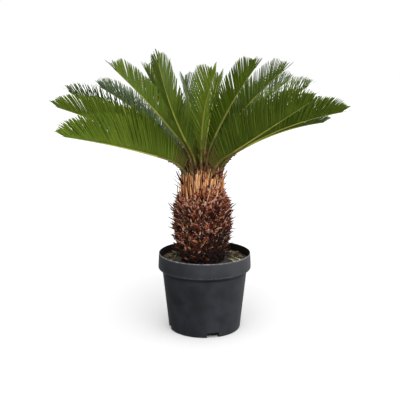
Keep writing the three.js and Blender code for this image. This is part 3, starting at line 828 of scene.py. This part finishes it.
# %% Growing every leaflet
LEAFLET_CLUMPING = 1.5
CLUMPING_STARTS = (0.1, 0.5)
TOO_CLOSED_TO_CLUMP = 1.65
LEAFLET_ROOT_ASIDE, LEAFLET_ROOT_ABOVE = 0.36, 0.2
LEAFLET_SWEEP_SPREAD, LEAFLET_RISE_SPREAD = 0.6, 1.5
LEAFLET_LENGTH_LEFT = (0.95, 1.0)
LEAFLET_CLEARANCE = 1
LEAFLET_FIT_SHARES = (1, 0.85, 0.7, 0.55, 0.4)
TIP_SHARE = 0.5
BROWNED_UP_TO = 0.14
leaflets = {family: [] for family in LEAF_FAMILIES}
skipped = 0
for frond, (rib, plan) in enumerate(zip(ribs, CROWN_PLAN)):
    for pair in range(LEAFLET_PAIRS):
        i = STALK_STEPS + pair
        model_pair = (pair + 0.5) / LEAFLET_PAIRS * MODEL_PAIRS - 0.5
        t = float(np.clip(model_pair / (MODEL_PAIRS - 1), 0, 1))
        sweep = leaflet_sweep(t)
        pitch = np.linalg.norm(rib["centre"][i + 1] - rib["centre"][i])
        width = leaflet_width(t, pitch, sweep, plan.closed)
        clump = rng.normal(0, LEAFLET_CLUMPING) * smoothstep(t, *CLUMPING_STARTS)
        clump = clump * (TOO_CLOSED_TO_CLUMP - plan.closed)
        for side in (-1, 1):
            aim, across = leaflet_aim(
                rib, i, side, sweep + clump + rng.normal(0, LEAFLET_SWEEP_SPREAD),
                LEAFLET_RISE + rng.normal(0, LEAFLET_RISE_SPREAD))
            root = (rib["centre"][i] + rib["centre"][i + 1]) / 2
            root = root + rib["right"][i] * side * rib["width"][i] * LEAFLET_ROOT_ASIDE
            root = root + rib["above"][i] * rib["width"][i] * LEAFLET_ROOT_ABOVE
            full = leaflet_length(t, plan.longest) * rng.uniform(*LEAFLET_LENGTH_LEFT)
            others = limbs[:count][limbs[:count, FROND] != frond]
            for share in LEAFLET_FIT_SHARES:
                limb = np.array([*root, *(root + aim * full * share), width / 2,
                                 width / 2 * TIP_SHARE, frond])
                if room_between(limb, others).min() >= LEAFLET_CLEARANCE:
                    limbs[count] = limb
                    count += 1
                    browned = rng.random() > smoothstep(t, 0, BROWNED_UP_TO)
                    tone = FOOT_TONE if browned else rng.integers(FOOT_TONE)
                    leaflets[plan.family].append(
                        (root, aim, np.cross(aim, across) * side, across, full * share, width,
                         tone))
                    break
            else:
                skipped += 1
    end = mix(*END_LEAFLETS, smoothstep(plan.tip_lift, *END_LEAFLET_LIFTS))
    leaflets[plan.family].append((rib["centre"][-1], rib["along"][-1], rib["above"][-1],
                                  rib["right"][-1], end, width, 0))
print("leaflets:", sum(map(len, leaflets.values())), "left out:", skipped)

# %% [markdown]
# ## Spines along the stalks
# Towards the foot of the stalk the leaflets shrink to hard spines that point outwards and down.
# They give the underside of the lowest fronds its jagged edge.

# %% Short spines on both sides of each stalk
STALK_SPINE_STATIONS = range(1, 16)
STALK_SPINE_SWEEP, STALK_SPINE_SWEEP_SPREAD = 50, 8
STALK_SPINE_DROP, STALK_SPINE_DROP_SPREAD = -35, 15
STALK_SPINE_LENGTHS, STALK_SPINE_WIDTHS = (8, 18), (2.5, 4)
for rib in ribs:
    for i in STALK_SPINE_STATIONS:
        for side in (-1, 1):
            aim, across = leaflet_aim(
                rib, i, side, STALK_SPINE_SWEEP + rng.normal(0, STALK_SPINE_SWEEP_SPREAD),
                STALK_SPINE_DROP + rng.normal(0, STALK_SPINE_DROP_SPREAD))
            leaflets["deep"].append((rib["centre"][i], aim, np.cross(aim, across) * side, across,
                                     rng.uniform(*STALK_SPINE_LENGTHS),
                                     rng.uniform(*STALK_SPINE_WIDTHS), FOOT_TONE))

# %% [markdown]
# ## The leaflet's own shape
# A leaflet is linear and drawn to a sharp point, with its margins rolled down and a rib proud
# underneath. Six points round its section are enough for both edges, the groove and the rib.

# %% One leaflet, copied along every rib
LEAFLET_SECTION = [(-0.5, -0.35), (-0.27, 0.3), (0, 0.08), (0.27, 0.3), (0.5, -0.35), (0, -0.6)]
LEAFLET_STATIONS = [
    (0.0, 0.85, 1.3, 0), (0.05, 1, 1.15, 0), (0.3, 1.03, 1, 0),
    (0.7, 0.96, 1, 0), (0.9, 0.72, 0.85, 0), (0.975, 0.4, 0.6, 0),
]
# each with its spread
LEAFLET_BOW_BACK = (0.022, 0.006)
LEAFLET_BOW_UP = (0.02, 0.012)
LEAFLET_TWIST = (-0.2, 0.04)
leaflet_shelf = shelf("leaflet_shapes", [loft("leaflet", LEAFLET_SECTION, LEAFLET_STATIONS)])
leaflet_pieces = []
for family, leaves in leaflets.items():
    root, aim, face, across, length, width, tone = map(np.array, zip(*leaves))
    number = len(root)
    size = np.stack([width, length, np.full(number, LEAFLET_THICKNESS)], axis=1) * MM
    bow = (-across * rng.normal(*LEAFLET_BOW_BACK, (number, 1))
           + face * rng.normal(*LEAFLET_BOW_UP, (number, 1))) * length[:, None] * MM
    face = face + across * rng.normal(*LEAFLET_TWIST, (number, 1))
    values = dict(zip(CARRIED, (aim, face, size, bow, np.zeros(number, int), tone)))
    piece = copied(f"leaflets_{family}", root, values, leaflet_shelf, leaf_finish[family])
    leaflet_pieces.append((family, piece))

# %% [markdown]
# ## The trunk's core
# What shows between the leaf bases is the core, painted black: painted shade in the gaps
# between them. It is a turned body that follows the trunk's own radius, a little slimmer than
# the model's so that the leaf bases cover it.

# %% Turning a body from a profile
def turned(name, profile, sides, centre_of=lambda height: np.zeros(3)):
    """A closed body: the profile of (radius, height) starts and ends on the axis."""
    vertices = []
    for radius, height in profile[1:-1]:
        x, y, _ = centre_of(height)
        vertices += [(math.cos(a) * radius + x, math.sin(a) * radius + y, height)
                     for a in np.linspace(0, 2 * math.pi, sides, endpoint=False)]
    rings = len(profile) - 2
    faces = skin(sides, rings)
    for end, ring, order in ((profile[0], 0, -1), (profile[-1], rings - 1, 1)):
        x, y, _ = centre_of(end[1])
        vertices.append((x, y, end[1]))
        faces += [(a, b, len(vertices) - 1)[::order] for a, b in neighbours(sides, ring)]
    return shown(name, body(name, np.array(vertices) * MM, faces))


# %% The trunk's core
CORE_SLIMMER = 3
CORE_SLIMMER_AT_FOOT = 16
FOOT_RISE = 80


def core_radius(rise):
    slimmer = mix(CORE_SLIMMER_AT_FOOT, CORE_SLIMMER, smoothstep(rise, 0, FOOT_RISE))
    return float(trunk_radius(rise) - slimmer)


core_profile = [(0, TRUNK_FOOT_Z)]
core_profile += [(core_radius(r), TRUNK_FOOT_Z + r) for r in np.linspace(0, TRUNK_TIP_RISE, 48)]
core_profile += [(0, TRUNK_FOOT_Z + TRUNK_TIP_RISE)]
trunk_core = turned("trunk_core", core_profile, 72, lambda z: trunk_centre(z - TRUNK_FOOT_Z))
# Its black stands in for the shade deep between the leaf bases: painted shade.
trunk_core.data.materials.append(stub_finish[BLACK])

# %% [markdown]
# ## Old leaf bases on the trunk
# Each frond that fell left its base behind. They sit in rows, every second one turned by half
# a step, as scales on a pineapple do. Low down they are short dark stubs with torn ends, with
# shards and spines between them. On the neck they are long tan sheaths that lie close.

# %% The shapes of leaf bases
ROUND_SECTION = [(math.cos(a) / 2, math.sin(a) / 2)
                 for a in np.linspace(0, 2 * math.pi, 8, endpoint=False)]
CUPPED_SECTION = [(-0.5, -0.3), (-0.3, 0.25), (0, 0.5), (0.3, 0.25), (0.5, -0.3), (0, -0.05)]
stub_shelf = shelf("leaf_base_shapes", [
    loft("a_cut_stub", ROUND_SECTION, [
        (0, 1, 1, 0), (0.3, 0.86, 0.9, 0), (0.65, 0.62, 0.8, 0.01), (0.92, 0.5, 0.7, 0.03),
        (1, 0.36, 0.5, 0.02)], pointed=False),
    loft("b_torn_stub", CUPPED_SECTION, [
        (0, 1, 1.1, 0), (0.3, 0.9, 1, 0), (0.55, 0.72, 0.85, 0.02), (0.78, 0.5, 0.6, 0.05)]),
    loft("c_shard", CUPPED_SECTION, [
        (0, 1, 1, 0), (0.35, 0.8, 0.8, 0), (0.7, 0.45, 0.6, 0)]),
    loft("d_sheath", CUPPED_SECTION, [
        (0, 1, 1, 0), (0.2, 0.95, 1, 0), (0.5, 0.8, 0.85, 0), (0.8, 0.62, 0.7, 0),
        (0.95, 0.4, 0.5, 0)]),
])
CUT_STUB, TORN_STUB, SHARD, SHEATH = range(4)


# %% Gathering what grows, and placing leaf bases round the trunk
growth = {key: [] for key in ("point", *CARRIED)}


def gather(*values):
    for column, value in zip(growth.values(), values):
        column.append(value)


def gathered_piece(name, shapes, tones, worn_end=None):
    """One piece of all that was gathered so far. The columns are emptied for the next."""
    columns = {key: np.array(values) for key, values in growth.items()}
    for values in growth.values():
        values.clear()
    return copied(name, columns.pop("point"), columns, shapes, tones, worn_end)


def leaf_base(rise, angle, tilt, lean, size, shape, tone, sink=3, bow=0.0):
    """One leaf base: tilt is how far it stands off the trunk, lean how far it turns aside."""
    outward, aside = compass(angle), compass(angle + 90)
    tilt, lean = math.radians(tilt), math.radians(lean)
    aim = UP * math.cos(tilt) + outward * math.sin(tilt)
    aim = unit(aim * math.cos(lean) + aside * math.sin(lean))
    face = outward * math.cos(tilt) - UP * math.sin(tilt)
    point = trunk_centre(rise) + outward * (float(trunk_radius(rise)) - sink)
    gather(point, aim, face, np.array(size) * MM, face * bow * size[1] * MM, shape, tone)


def drawn(*ranges):
    """An even draw from each range."""
    return [rng.uniform(*bounds) for bounds in ranges]


def left_share(angle):
    """0 at the trunk's right side and 1 at its left."""
    return (1 - compass(angle)[0]) / 2


# %% [markdown]
# ## The lower trunk
# The older a leaf base is, the darker and the more it has rotted away. So the tones are dealt
# out by height: near the soil most are small and black, and higher up more of them are brown,
# red and tan. The left side stayed drier, so the brown ones reach further down there. Their
# torn ends are pale, where the fibre shows.

# %% Stubs and the shards between them
# black, purple, brown, red, tan, pale, grey, olive, rotted
STUB_FOOT_TONES = np.array([0.15, 0.03, 0, 0, 0, 0, 0, 0, 0.82])
STUB_NECK_TONES = np.array([0.26, 0.24, 0.27, 0.07, 0.08, 0.05, 0, 0, 0.03])
SHARD_FOOT_TONES = np.array([0.1, 0.04, 0.03, 0, 0.01, 0, 0.04, 0, 0.78])
SHARD_NECK_TONES = np.array([0.25, 0.2, 0.22, 0.08, 0.11, 0.1, 0.01, 0, 0.03])
RING_TONES = np.array([0.06, 0.14, 0.26, 0.28, 0.14, 0.12, 0, 0, 0])
ROUND_COUNT = 30
LOW_ROWS = 21
SHARDS_EACH = 4
RING_RISES = (185, 225)
BELLY_RISES = ((50, 110), (160, 210))
RED_RISES = (40, 110)
TORN_RISES = (15, 100)
TORN_SHARE = 0.8
TORN_END_FROM = 0.75
DRIER_AT_LEFT = 0.26
DRIER_SIDE = (0.45, 0.7)
KEPT_FROM_SHARE = 0.72
LEFT_OVER_AT_FOOT = 0.55
DEEPER_AT_FOOT, PROUDER_AT_BELLY = 10, 4
SHARD_LEANS = (36, 25)
# widths, lengths and thicknesses
STUB_SIZES = ((9, 16), (21, 34), (4, 8))
SHARD_SIZES = ((5, 10), (16, 27), (2, 3.6))
rng = np.random.default_rng(21)


def tones_at(rise, kept, ring, foot_tones, neck_tones):
    """The shares of the tones at a height. The red ones turn brown low on the trunk."""
    tones = mix(mix(foot_tones, neck_tones, kept), RING_TONES, ring)
    lost = tones[RED] * (1 - smoothstep(rise, *RED_RISES))
    tones[RED] -= lost
    tones[BROWN] += lost
    return tones


for row in range(LOW_ROWS):
    rise = TRUNK_NECK_RISE * (row + 0.3) / LOW_ROWS
    ring = smoothstep(rise, *RING_RISES)
    whole = smoothstep(rise, 0, FOOT_RISE)
    left_over, wild = mix(LEFT_OVER_AT_FOOT, 1, whole), mix(*SHARD_LEANS, whole)
    belly = smoothstep(rise, *BELLY_RISES[0]) * (1 - smoothstep(rise, *BELLY_RISES[1]))
    deeper = mix(DEEPER_AT_FOOT, 0, whole) - PROUDER_AT_BELLY * belly
    torn = mix(0, TORN_SHARE, smoothstep(rise, *TORN_RISES))
    for i in range(ROUND_COUNT):
        angle = 360 / ROUND_COUNT * (i + (row % 2) / 2) + rng.normal(0, 2)
        drier = DRIER_AT_LEFT * smoothstep(left_share(angle), *DRIER_SIDE)
        kept = smoothstep(rise / TRUNK_NECK_RISE + drier, 0, KEPT_FROM_SHARE)
        stub_tones = tones_at(rise, kept, ring, STUB_FOOT_TONES, STUB_NECK_TONES)
        shard_tones = tones_at(rise, kept, ring, SHARD_FOOT_TONES, SHARD_NECK_TONES)
        shape = TORN_STUB if rng.random() < torn else CUT_STUB
        width, length, thickness = drawn(*STUB_SIZES)
        leaf_base(rise + rng.normal(0, 2), angle, rng.uniform(20, 60), rng.normal(0, 18),
                  (width, length * left_over, thickness), shape, rng.choice(9, p=stub_tones),
                  sink=6 + deeper, bow=rng.normal(-0.1, 0.05))
        for _ in range(SHARDS_EACH):
            width, length, thickness = drawn(*SHARD_SIZES)
            leaf_base(rise + rng.uniform(-6, 6), angle + rng.uniform(-7, 7),
                      rng.uniform(12, 60), rng.normal(0, wild),
                      (width, length * left_over, thickness), SHARD,
                      rng.choice(9, p=shard_tones), sink=5 + deeper, bow=rng.normal(-0.1, 0.09))
trunk_stubs = gathered_piece("trunk_stubs", stub_shelf, stub_finish,
                             (torn_end_finish, TORN_STUB, TORN_END_FROM))

# %% [markdown]
# ## Spines that stand out of the trunk
# Some stalks have rotted away but for a hard spine, black, brown or grey-green. They break the
# trunk's outline on both sides. The longest are left of the neck.

# %% Spines
SPINE_COUNT = 150
SPINE_SIZES = ((5, 8), (26, 38), (3, 5))
ROTTED_UP_TO = 40
for _ in range(SPINE_COUNT):
    rise = rng.uniform(10, 250)
    dry = [BLACK, BROWN, GREY] if rise > ROTTED_UP_TO else [BLACK, ROTTED, ROTTED]
    leaf_base(rise, rng.uniform(0, 360), rng.uniform(34, 72), rng.normal(0, 15),
              drawn(*SPINE_SIZES), SHARD, rng.choice(dry, p=[0.4, 0.3, 0.3]))
LONG_SPINES = [
    # rise, compass angle, tilt, length, width
    (292, 200, 27, 66, 12), (282, 184, 46, 54, 5), (272, 196, 54, 50, 5),
    (292, 172, 46, 52, 4), (240, 190, 62, 46, 8.5), (232, 176, 72, 36, 6),
    (188, 186, 44, 52, 9), (206, 198, 56, 44, 7), (176, 172, 52, 42, 7),
    (150, 184, 62, 42, 8.5), (118, 188, 66, 40, 9), (82, 178, 62, 32, 7),
    (298, -6, 34, 44, 7), (238, -4, 84, 42, 6), (192, -6, 50, 48, 9),
    (176, 4, 60, 38, 6), (150, -2, 62, 42, 7), (118, -5, 78, 40, 6),
    (92, 4, 54, 36, 7),
]
for rise, angle, tilt, length, width in LONG_SPINES:
    leaf_base(rise, angle, tilt, 0, (width, length, width * 0.7), SHARD,
              rng.choice([BLACK, GREY]), bow=0.02)
trunk_spines = gathered_piece("trunk_spines", stub_shelf, stub_finish)

# %% [markdown]
# ## The neck
# Under the crown the leaf bases are young: long fibrous sheaths, tan and close, in rows that
# overlap upwards. The core, painted black as painted shade, shows between them. Towards the
# right they lean to one side, and at the left more of them are brown and dark: painted shade
# on the side away from the light.

# %% Tan sheaths
# tan, peach, orange, brown, dark
SHEATH_TONES = np.array([0.31, 0.4, 0.14, 0.07, 0.08])
# Darker tones at the left, the side away from the light: painted shade.
SHADED_LEFT_SHEATH_TONES = np.array([0.2, 0.06, 0.22, 0.34, 0.18])
SHEATH_ROWS = [
    # rise of the foot, number round the trunk, length, width, how deep it is set
    (248, 62, 80, 9, 8), (276, 58, 62, 9, 8), (236, 56, 78, 6, 5), (248, 60, 84, 5.5, 4),
    (260, 56, 76, 5.5, 4), (276, 50, 66, 5.5, 4), (296, 44, 50, 5, 4),
]
SHEATH_LEAN = 13
for rise, number, length, width, sink in SHEATH_ROWS:
    for i in range(number):
        angle = 360 / number * (i + rng.uniform(-0.3, 0.3)) + rise
        left = left_share(angle)
        tones = mix(SHEATH_TONES, SHADED_LEFT_SHEATH_TONES, smoothstep(left, 0.45, 0.85))
        lower = mix(10, -4, smoothstep(left, 0.5, 0.8))
        leaf_base(rise + rng.normal(0, 8) + lower, angle, rng.uniform(0, 4),
                  SHEATH_LEAN * smoothstep(1 - left, 0.3, 1) + rng.normal(0, 6),
                  (width * rng.uniform(0.6, 1.3), length * rng.uniform(0.8, 1.1),
                   rng.uniform(3, 5.5)),
                  SHEATH, rng.choice(5, p=tones), sink=sink, bow=rng.normal(0.0, 0.02))
neck_sheaths = gathered_piece("neck_sheaths", stub_shelf, sheath_finish)

# %% [markdown]
# ## Round the sheaths' feet and under the fronds
# A ring of short red and pinkish stubs closes the sheaths' feet, and it reaches up least at
# the left. Above the sheaths stand the cut stalks of the last fronds and dark papery scales,
# which protect the crown's bud. In the crown's middle is the woolly bud.

# %% The ring of red stubs
COLLAR_STUBS = 360
COLLAR_SIZES = ((6, 10), (12, 22), (3, 5))
COLLAR_TONES = {PURPLE: 0.1, BROWN: 0.18, RED: 0.3, TAN: 0.18, PALE: 0.24}


def dealt(tones):
    """One of the tones, each as often as its share says."""
    return rng.choice(list(tones), p=list(tones.values()))


for _ in range(COLLAR_STUBS):
    angle = rng.uniform(0, 360)
    top = mix(236, 290, smoothstep(compass(angle)[0], -0.7, 0.1))
    rise = rng.uniform(212, top)
    leaf_base(rise, angle, rng.uniform(12, 50), rng.normal(0, 26),
              drawn(*COLLAR_SIZES), TORN_STUB, dealt(COLLAR_TONES),
              sink=mix(3, -4, smoothstep(rise, 225, 250)))

# %% Cut stalks, dark scales, and more scales at the front
AROUND, FRONT = (0, 360), (-112, -30)
CROWN_BASES = [
    # number, rise, angle, tilt, lean and its spread, width, length, thickness
    (110, (318, 346), AROUND, (10, 40), (0, 8), ((6, 10), (24, 50), (4, 6)),
     TORN_STUB, {OLIVE: 0.8, BROWN: 0.2}, 3, -0.04),
    (90, (306, 350), AROUND, (2, 34), (0, 12), ((6, 11), (30, 50), (2, 3.5)),
     SHARD, {BLACK: 0.2, PURPLE: 0.25, BROWN: 0.35, RED: 0.2}, 3, 0.05),
    (46, (326, 344), FRONT, (4, 30), (10, 22), ((7, 12), (16, 32), (2, 3.5)),
     SHARD, {PURPLE: 0.35, RED: 0.4, BROWN: 0.25}, -4, 0.05),
]
for number, rises, angles, tilts, lean, sizes, shape, tones, sink, bow in CROWN_BASES:
    for _ in range(number):
        leaf_base(*drawn(rises, angles, tilts), rng.normal(*lean), drawn(*sizes), shape,
                  dealt(tones), sink=sink, bow=bow)

# %% Three that stick out, and the bud
leaf_base(330, -58, 44, 52, (17, 62, 4), TORN_STUB, PURPLE, sink=0, bow=0.12)
leaf_base(324, -30, 60, 10, (11, 52, 4), SHARD, BROWN, bow=0.1)
leaf_base(292, -38, 18, 24, (14, 72, 4), TORN_STUB, TAN, sink=0, bow=0.06)
BUD_SCALES = 60
BUD_SIZES = ((7, 11), (40, 62), (2.5, 4))
BUD_TONES = {BROWN: 0.4, RED: 0.3, TAN: 0.3}
GOLDEN_ANGLE = 137.5
for i in range(BUD_SCALES):
    leaf_base(TRUNK_TIP_RISE - 2, i * GOLDEN_ANGLE, rng.uniform(-8, 12), 0,
              drawn(*BUD_SIZES), SHARD, dealt(BUD_TONES),
              sink=TRUNK_TIP_RADIUS * (1 - math.sqrt((i + 0.5) / BUD_SCALES)))
crown_scales = gathered_piece("crown_scales", stub_shelf, stub_finish)

# %% [markdown]
# ## The pot
# A nursery pot is moulded in one go: a tapered body, a wide collar with a chamfer under it,
# and drain notches in its foot. A turned profile gives it all but the notches, which a Boolean
# cuts. Its edges are rounded. Its inside and its notches are painted dark: painted shade in
# these recesses.

# %% The pot's sizes and its profile
POT_HEIGHT = 291
POT_FOOT_RADIUS = 135.5
POT_NECK_RADIUS = 159
POT_NECK_Z = 221
COLLAR_RADIUS = 175
COLLAR_BOTTOM_Z = 235
COLLAR_TOP_RADIUS = 172
POT_WALL = 3
POT_FLOOR_RADIUS = 134
POT_SIDES = 192
NOTCH_COUNT = 4
NOTCH_WIDTH = 44
NOTCH_HEIGHT = 19
NOTCH_DEPTH = 26
NOTCH_FIRST_ANGLE = 13


def rounded(corners, radii, steps=5):
    """The corners of a profile, each replaced by a short arc where it has a radius."""
    points = [corners[0]]
    for i in range(1, len(corners) - 1):
        here = np.array(corners[i], float)
        back = unit(np.array(corners[i - 1], float) - here)
        ahead = unit(np.array(corners[i + 1], float) - here)
        for k in range(steps + 1 if radii[i] else 1):
            t = k / steps
            bent = here + back * radii[i] * (1 - t) ** 2 + ahead * radii[i] * t ** 2
            points.append(tuple(bent))
    points.append(corners[-1])
    return points


floor_z = NOTCH_HEIGHT + POT_WALL
pot_corners = [
    (0, 0), (POT_FOOT_RADIUS, 0), (POT_NECK_RADIUS, POT_NECK_Z), (COLLAR_RADIUS, COLLAR_BOTTOM_Z),
    (COLLAR_TOP_RADIUS, POT_HEIGHT), (COLLAR_TOP_RADIUS - POT_WALL, POT_HEIGHT),
    (COLLAR_RADIUS - POT_WALL, COLLAR_BOTTOM_Z + POT_WALL),
    (POT_NECK_RADIUS - POT_WALL, POT_NECK_Z + POT_WALL),
    (POT_FLOOR_RADIUS, floor_z), (0, floor_z),
]
pot_radii = [0, 4, 5, 4, 1.4, 1.4, 3, 3, 2, 0]
pot = turned("pot_moulded", rounded(pot_corners, pot_radii), POT_SIDES)

# %% Cutting the drain notches
cutters = bmesh.new()
for i in range(NOTCH_COUNT):
    angle = math.radians(NOTCH_FIRST_ANGLE + 360 / NOTCH_COUNT * i)
    made = bmesh.ops.create_cube(cutters, size=1)["verts"]
    bmesh.ops.scale(cutters, verts=made,
                    vec=(2 * NOTCH_DEPTH * MM, NOTCH_WIDTH * MM, 2 * NOTCH_HEIGHT * MM))
    bmesh.ops.translate(cutters, verts=made, vec=(POT_FOOT_RADIUS * MM, 0, 0))
    turn = np.array([[math.cos(angle), -math.sin(angle), 0],
                     [math.sin(angle), math.cos(angle), 0], [0, 0, 1]])
    for vertex in made:
        vertex.co = turn @ np.array(vertex.co)
cutter_mesh = bpy.data.meshes.new("notch_cutters")
cutters.to_mesh(cutter_mesh)
cutters.free()
cutter = shown("notch_cutters", cutter_mesh)
boolean = pot.modifiers.new("notches", "BOOLEAN")
boolean.operation = "DIFFERENCE"
boolean.solver = "EXACT"
boolean.object = cutter
cut = plain_mesh(pot)
bpy.data.objects.remove(cutter)

# %% The pot's two finishes
SHARP_ANGLE = math.radians(38)
PAINTED_SHADE = 1
cut.materials.clear()
# The pale bands on the rim's lip and the collar's lower edge: partly wear, partly painted
# highlight.
cut.materials.append(worn_and_highlit_plastic(
    "moulded_polypropylene", ("#17191d", "#1e2127", "#25282f"), "#9aa1a6",
    [(POT_HEIGHT, 5, 0.95), (COLLAR_BOTTOM_Z, 6, 0.25)]))
cut.materials.append(mottled("painted_shade_plastic", ("#121110", "#1c1a17"), 0.8, 30, 3, 0.3,
                             gloss_share=0.2))
# Faces inside the pot and in its notches take the dark finish: painted shade in these recesses.
for face in cut.polygons:
    outwards = face.normal.x * face.center.x + face.normal.y * face.center.y
    inside = outwards < 0 and face.center.z > floor_z * MM
    in_notch = (0 < face.center.z < (NOTCH_HEIGHT + 1) * MM
                and math.hypot(*face.center[:2]) < (POT_FOOT_RADIUS - 1) * MM)
    if inside or in_notch:
        face.material_index = PAINTED_SHADE
cut.set_sharp_from_angle(angle=SHARP_ANGLE)

# %% [markdown]
# ## The soil
# The soil fills the pot to 30 mm under its rim, and it is uneven. A turned body gives its
# mass, a small wave its hummocks. Crumbs, bark, straw and a few fallen leaflets are then
# strewn on it.

# %% The body of the soil
SOIL_SIDE_GAP = 0.4
SOIL_FLOOR_GAP = 0.3
SOIL_FOOT_GAP, SOIL_NECK_GAP = 1.5, 2
SOIL_INNER_RADIUS, SOIL_RINGS = 60, 36
SOIL_UNEVEN = 2.2


def inner_radius(z):
    if z <= POT_NECK_Z + POT_WALL:
        return mix(POT_FOOT_RADIUS, POT_NECK_RADIUS, z / (POT_NECK_Z + POT_WALL)) - POT_WALL
    t = (z - COLLAR_BOTTOM_Z) / (POT_HEIGHT - COLLAR_BOTTOM_Z)
    return mix(COLLAR_RADIUS, COLLAR_TOP_RADIUS, t) - POT_WALL


def soil_wave(x, y):
    """The height of the hummocks at a place, in millimetres: two crossing waves."""
    return SOIL_UNEVEN * (np.sin(x / 13 + 1.3 * np.sin(y / 19)) * np.cos(y / 16 + 0.7)
                          + 0.5 * np.sin(x / 6.1 - y / 7.3))


soil_edge = inner_radius(SOIL_Z) - SOIL_SIDE_GAP
soil_floor_z = floor_z + SOIL_FLOOR_GAP
soil_profile = [
    (0, soil_floor_z), (inner_radius(floor_z) - SOIL_FOOT_GAP, soil_floor_z),
    (inner_radius(POT_NECK_Z) - SOIL_NECK_GAP, POT_NECK_Z),
    (soil_edge - SOIL_NECK_GAP, COLLAR_BOTTOM_Z + 6)]
soil_profile += [(r, SOIL_Z) for r in np.linspace(soil_edge, SOIL_INNER_RADIUS, SOIL_RINGS)]
soil_profile += [(0, SOIL_Z)]
soil = turned("soil_surface", soil_profile, 144)
for vertex in soil.data.vertices:
    x, y, z = (c / MM for c in vertex.co)
    if z > SOIL_Z - 1:
        vertex.co.z = (SOIL_Z + float(soil_wave(x, y))) * MM
soil.data.materials.append(soil_finish)

# %% Strewing litter
LITTER_INNER_RADIUS = 104
LITTER_BOW = 0.04
WALL_CLEARANCE = 5
litter_shelf = shelf("litter_shapes", [
    loft("a_crumb", ROUND_SECTION, [(0, 0.5, 0.5, 0), (0.25, 1, 0.9, 0.05), (0.7, 0.85, 1, 0)]),
    loft("b_chip", [(-0.5, -0.5), (-0.45, 0.4), (0.4, 0.5), (0.5, -0.4)],
         [(0, 0.7, 1, 0), (0.3, 1, 0.8, 0), (1, 0.75, 0.9, 0)], pointed=False),
    loft("c_straw", CUPPED_SECTION, [(0, 0.8, 1, 0), (0.5, 1, 1, 0), (0.85, 0.7, 0.8, 0)]),
])
CRUMB, CHIP, STRAW = range(3)


def strew(number, shape, tones, sizes, tilt, side=None):
    """Litter that lies on the soil between the trunk and the pot's wall."""
    widest = soil_edge - WALL_CLEARANCE
    for _ in range(number):
        angle = rng.uniform(0, 360) if side is None else rng.normal(*side)
        size = np.array(drawn(*sizes))
        radius = mix(LITTER_INNER_RADIUS, widest, math.sqrt(rng.random()))
        place, heading = compass(angle) * radius, compass(rng.uniform(0, 360))
        if np.linalg.norm(place + heading * size[1]) > widest:
            heading = -heading if place @ heading > 0 else compass(angle + 90)
        if np.linalg.norm(place + heading * size[1]) > widest:
            continue
        x, y, _ = place
        slope = math.radians(rng.normal(0, tilt))
        point = (x, y, SOIL_Z + float(soil_wave(x, y)) + size[2] * 0.25)
        aim = heading * math.cos(slope) + UP * abs(math.sin(slope))
        gather(point, aim, UP, size * MM, UP * LITTER_BOW * size[1] * MM, shape,
               rng.choice(tones))


# %% Crumbs, bark, straw and fallen leaflets
strew(1100, CRUMB, [DARK, DARK, DARK, EARTHY], ((3, 7), (3, 7), (2.5, 6)), 20)
strew(260, CHIP, [EARTHY, BARK, BARK, DARK], ((5, 11), (8, 18), (2, 4)), 12)
strew(150, STRAW, [STRAWY, STRAWY, BARK], ((1.2, 2.2), (12, 30), (0.8, 1.4)), 9)
strew(40, STRAW, [LEAFY, LEAFY, STRAWY], ((5, 9), (22, 48), (1, 1.4)), 5, side=(-28, 16))
litter = gathered_piece("soil_litter", litter_shelf, litter_finish)

# %% [markdown]
# ## Joining the frame
# The plant and its pot are one rigid body, so every piece rides on it. Each piece is listed
# beside a finish of the record, which nothing here reads, and those that stand for nodes of
# the model say which; these nodes are hidden.

# %% Riding and replacing
frond_names = [f"frond_{i + 1:02d}" for i in range(len(CROWN_PLAN))]
pieces = []
for family, piece in leaflet_pieces:
    own = [name for name, plan in zip(frond_names, CROWN_PLAN) if plan.family == family]
    pieces.append((piece, own, "frond_green"))
pieces += [
    (frond_ribs, (), "frond_green"),
    (trunk_core, ("trunk",), "old_leaf_bases"),
    (trunk_stubs, (), "old_leaf_bases"),
    (trunk_spines, (), "old_leaf_bases"),
    (neck_sheaths, (), "old_leaf_bases"),
    (crown_scales, (), "old_leaf_bases"),
    (pot, ("pot",), "black_plastic"),
    (soil, ("soil",), "potting_soil"),
    (litter, (), "potting_soil"),
]
for piece, nodes, slot in pieces:
    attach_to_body(piece, "root")
    if nodes:
        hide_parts(*nodes)
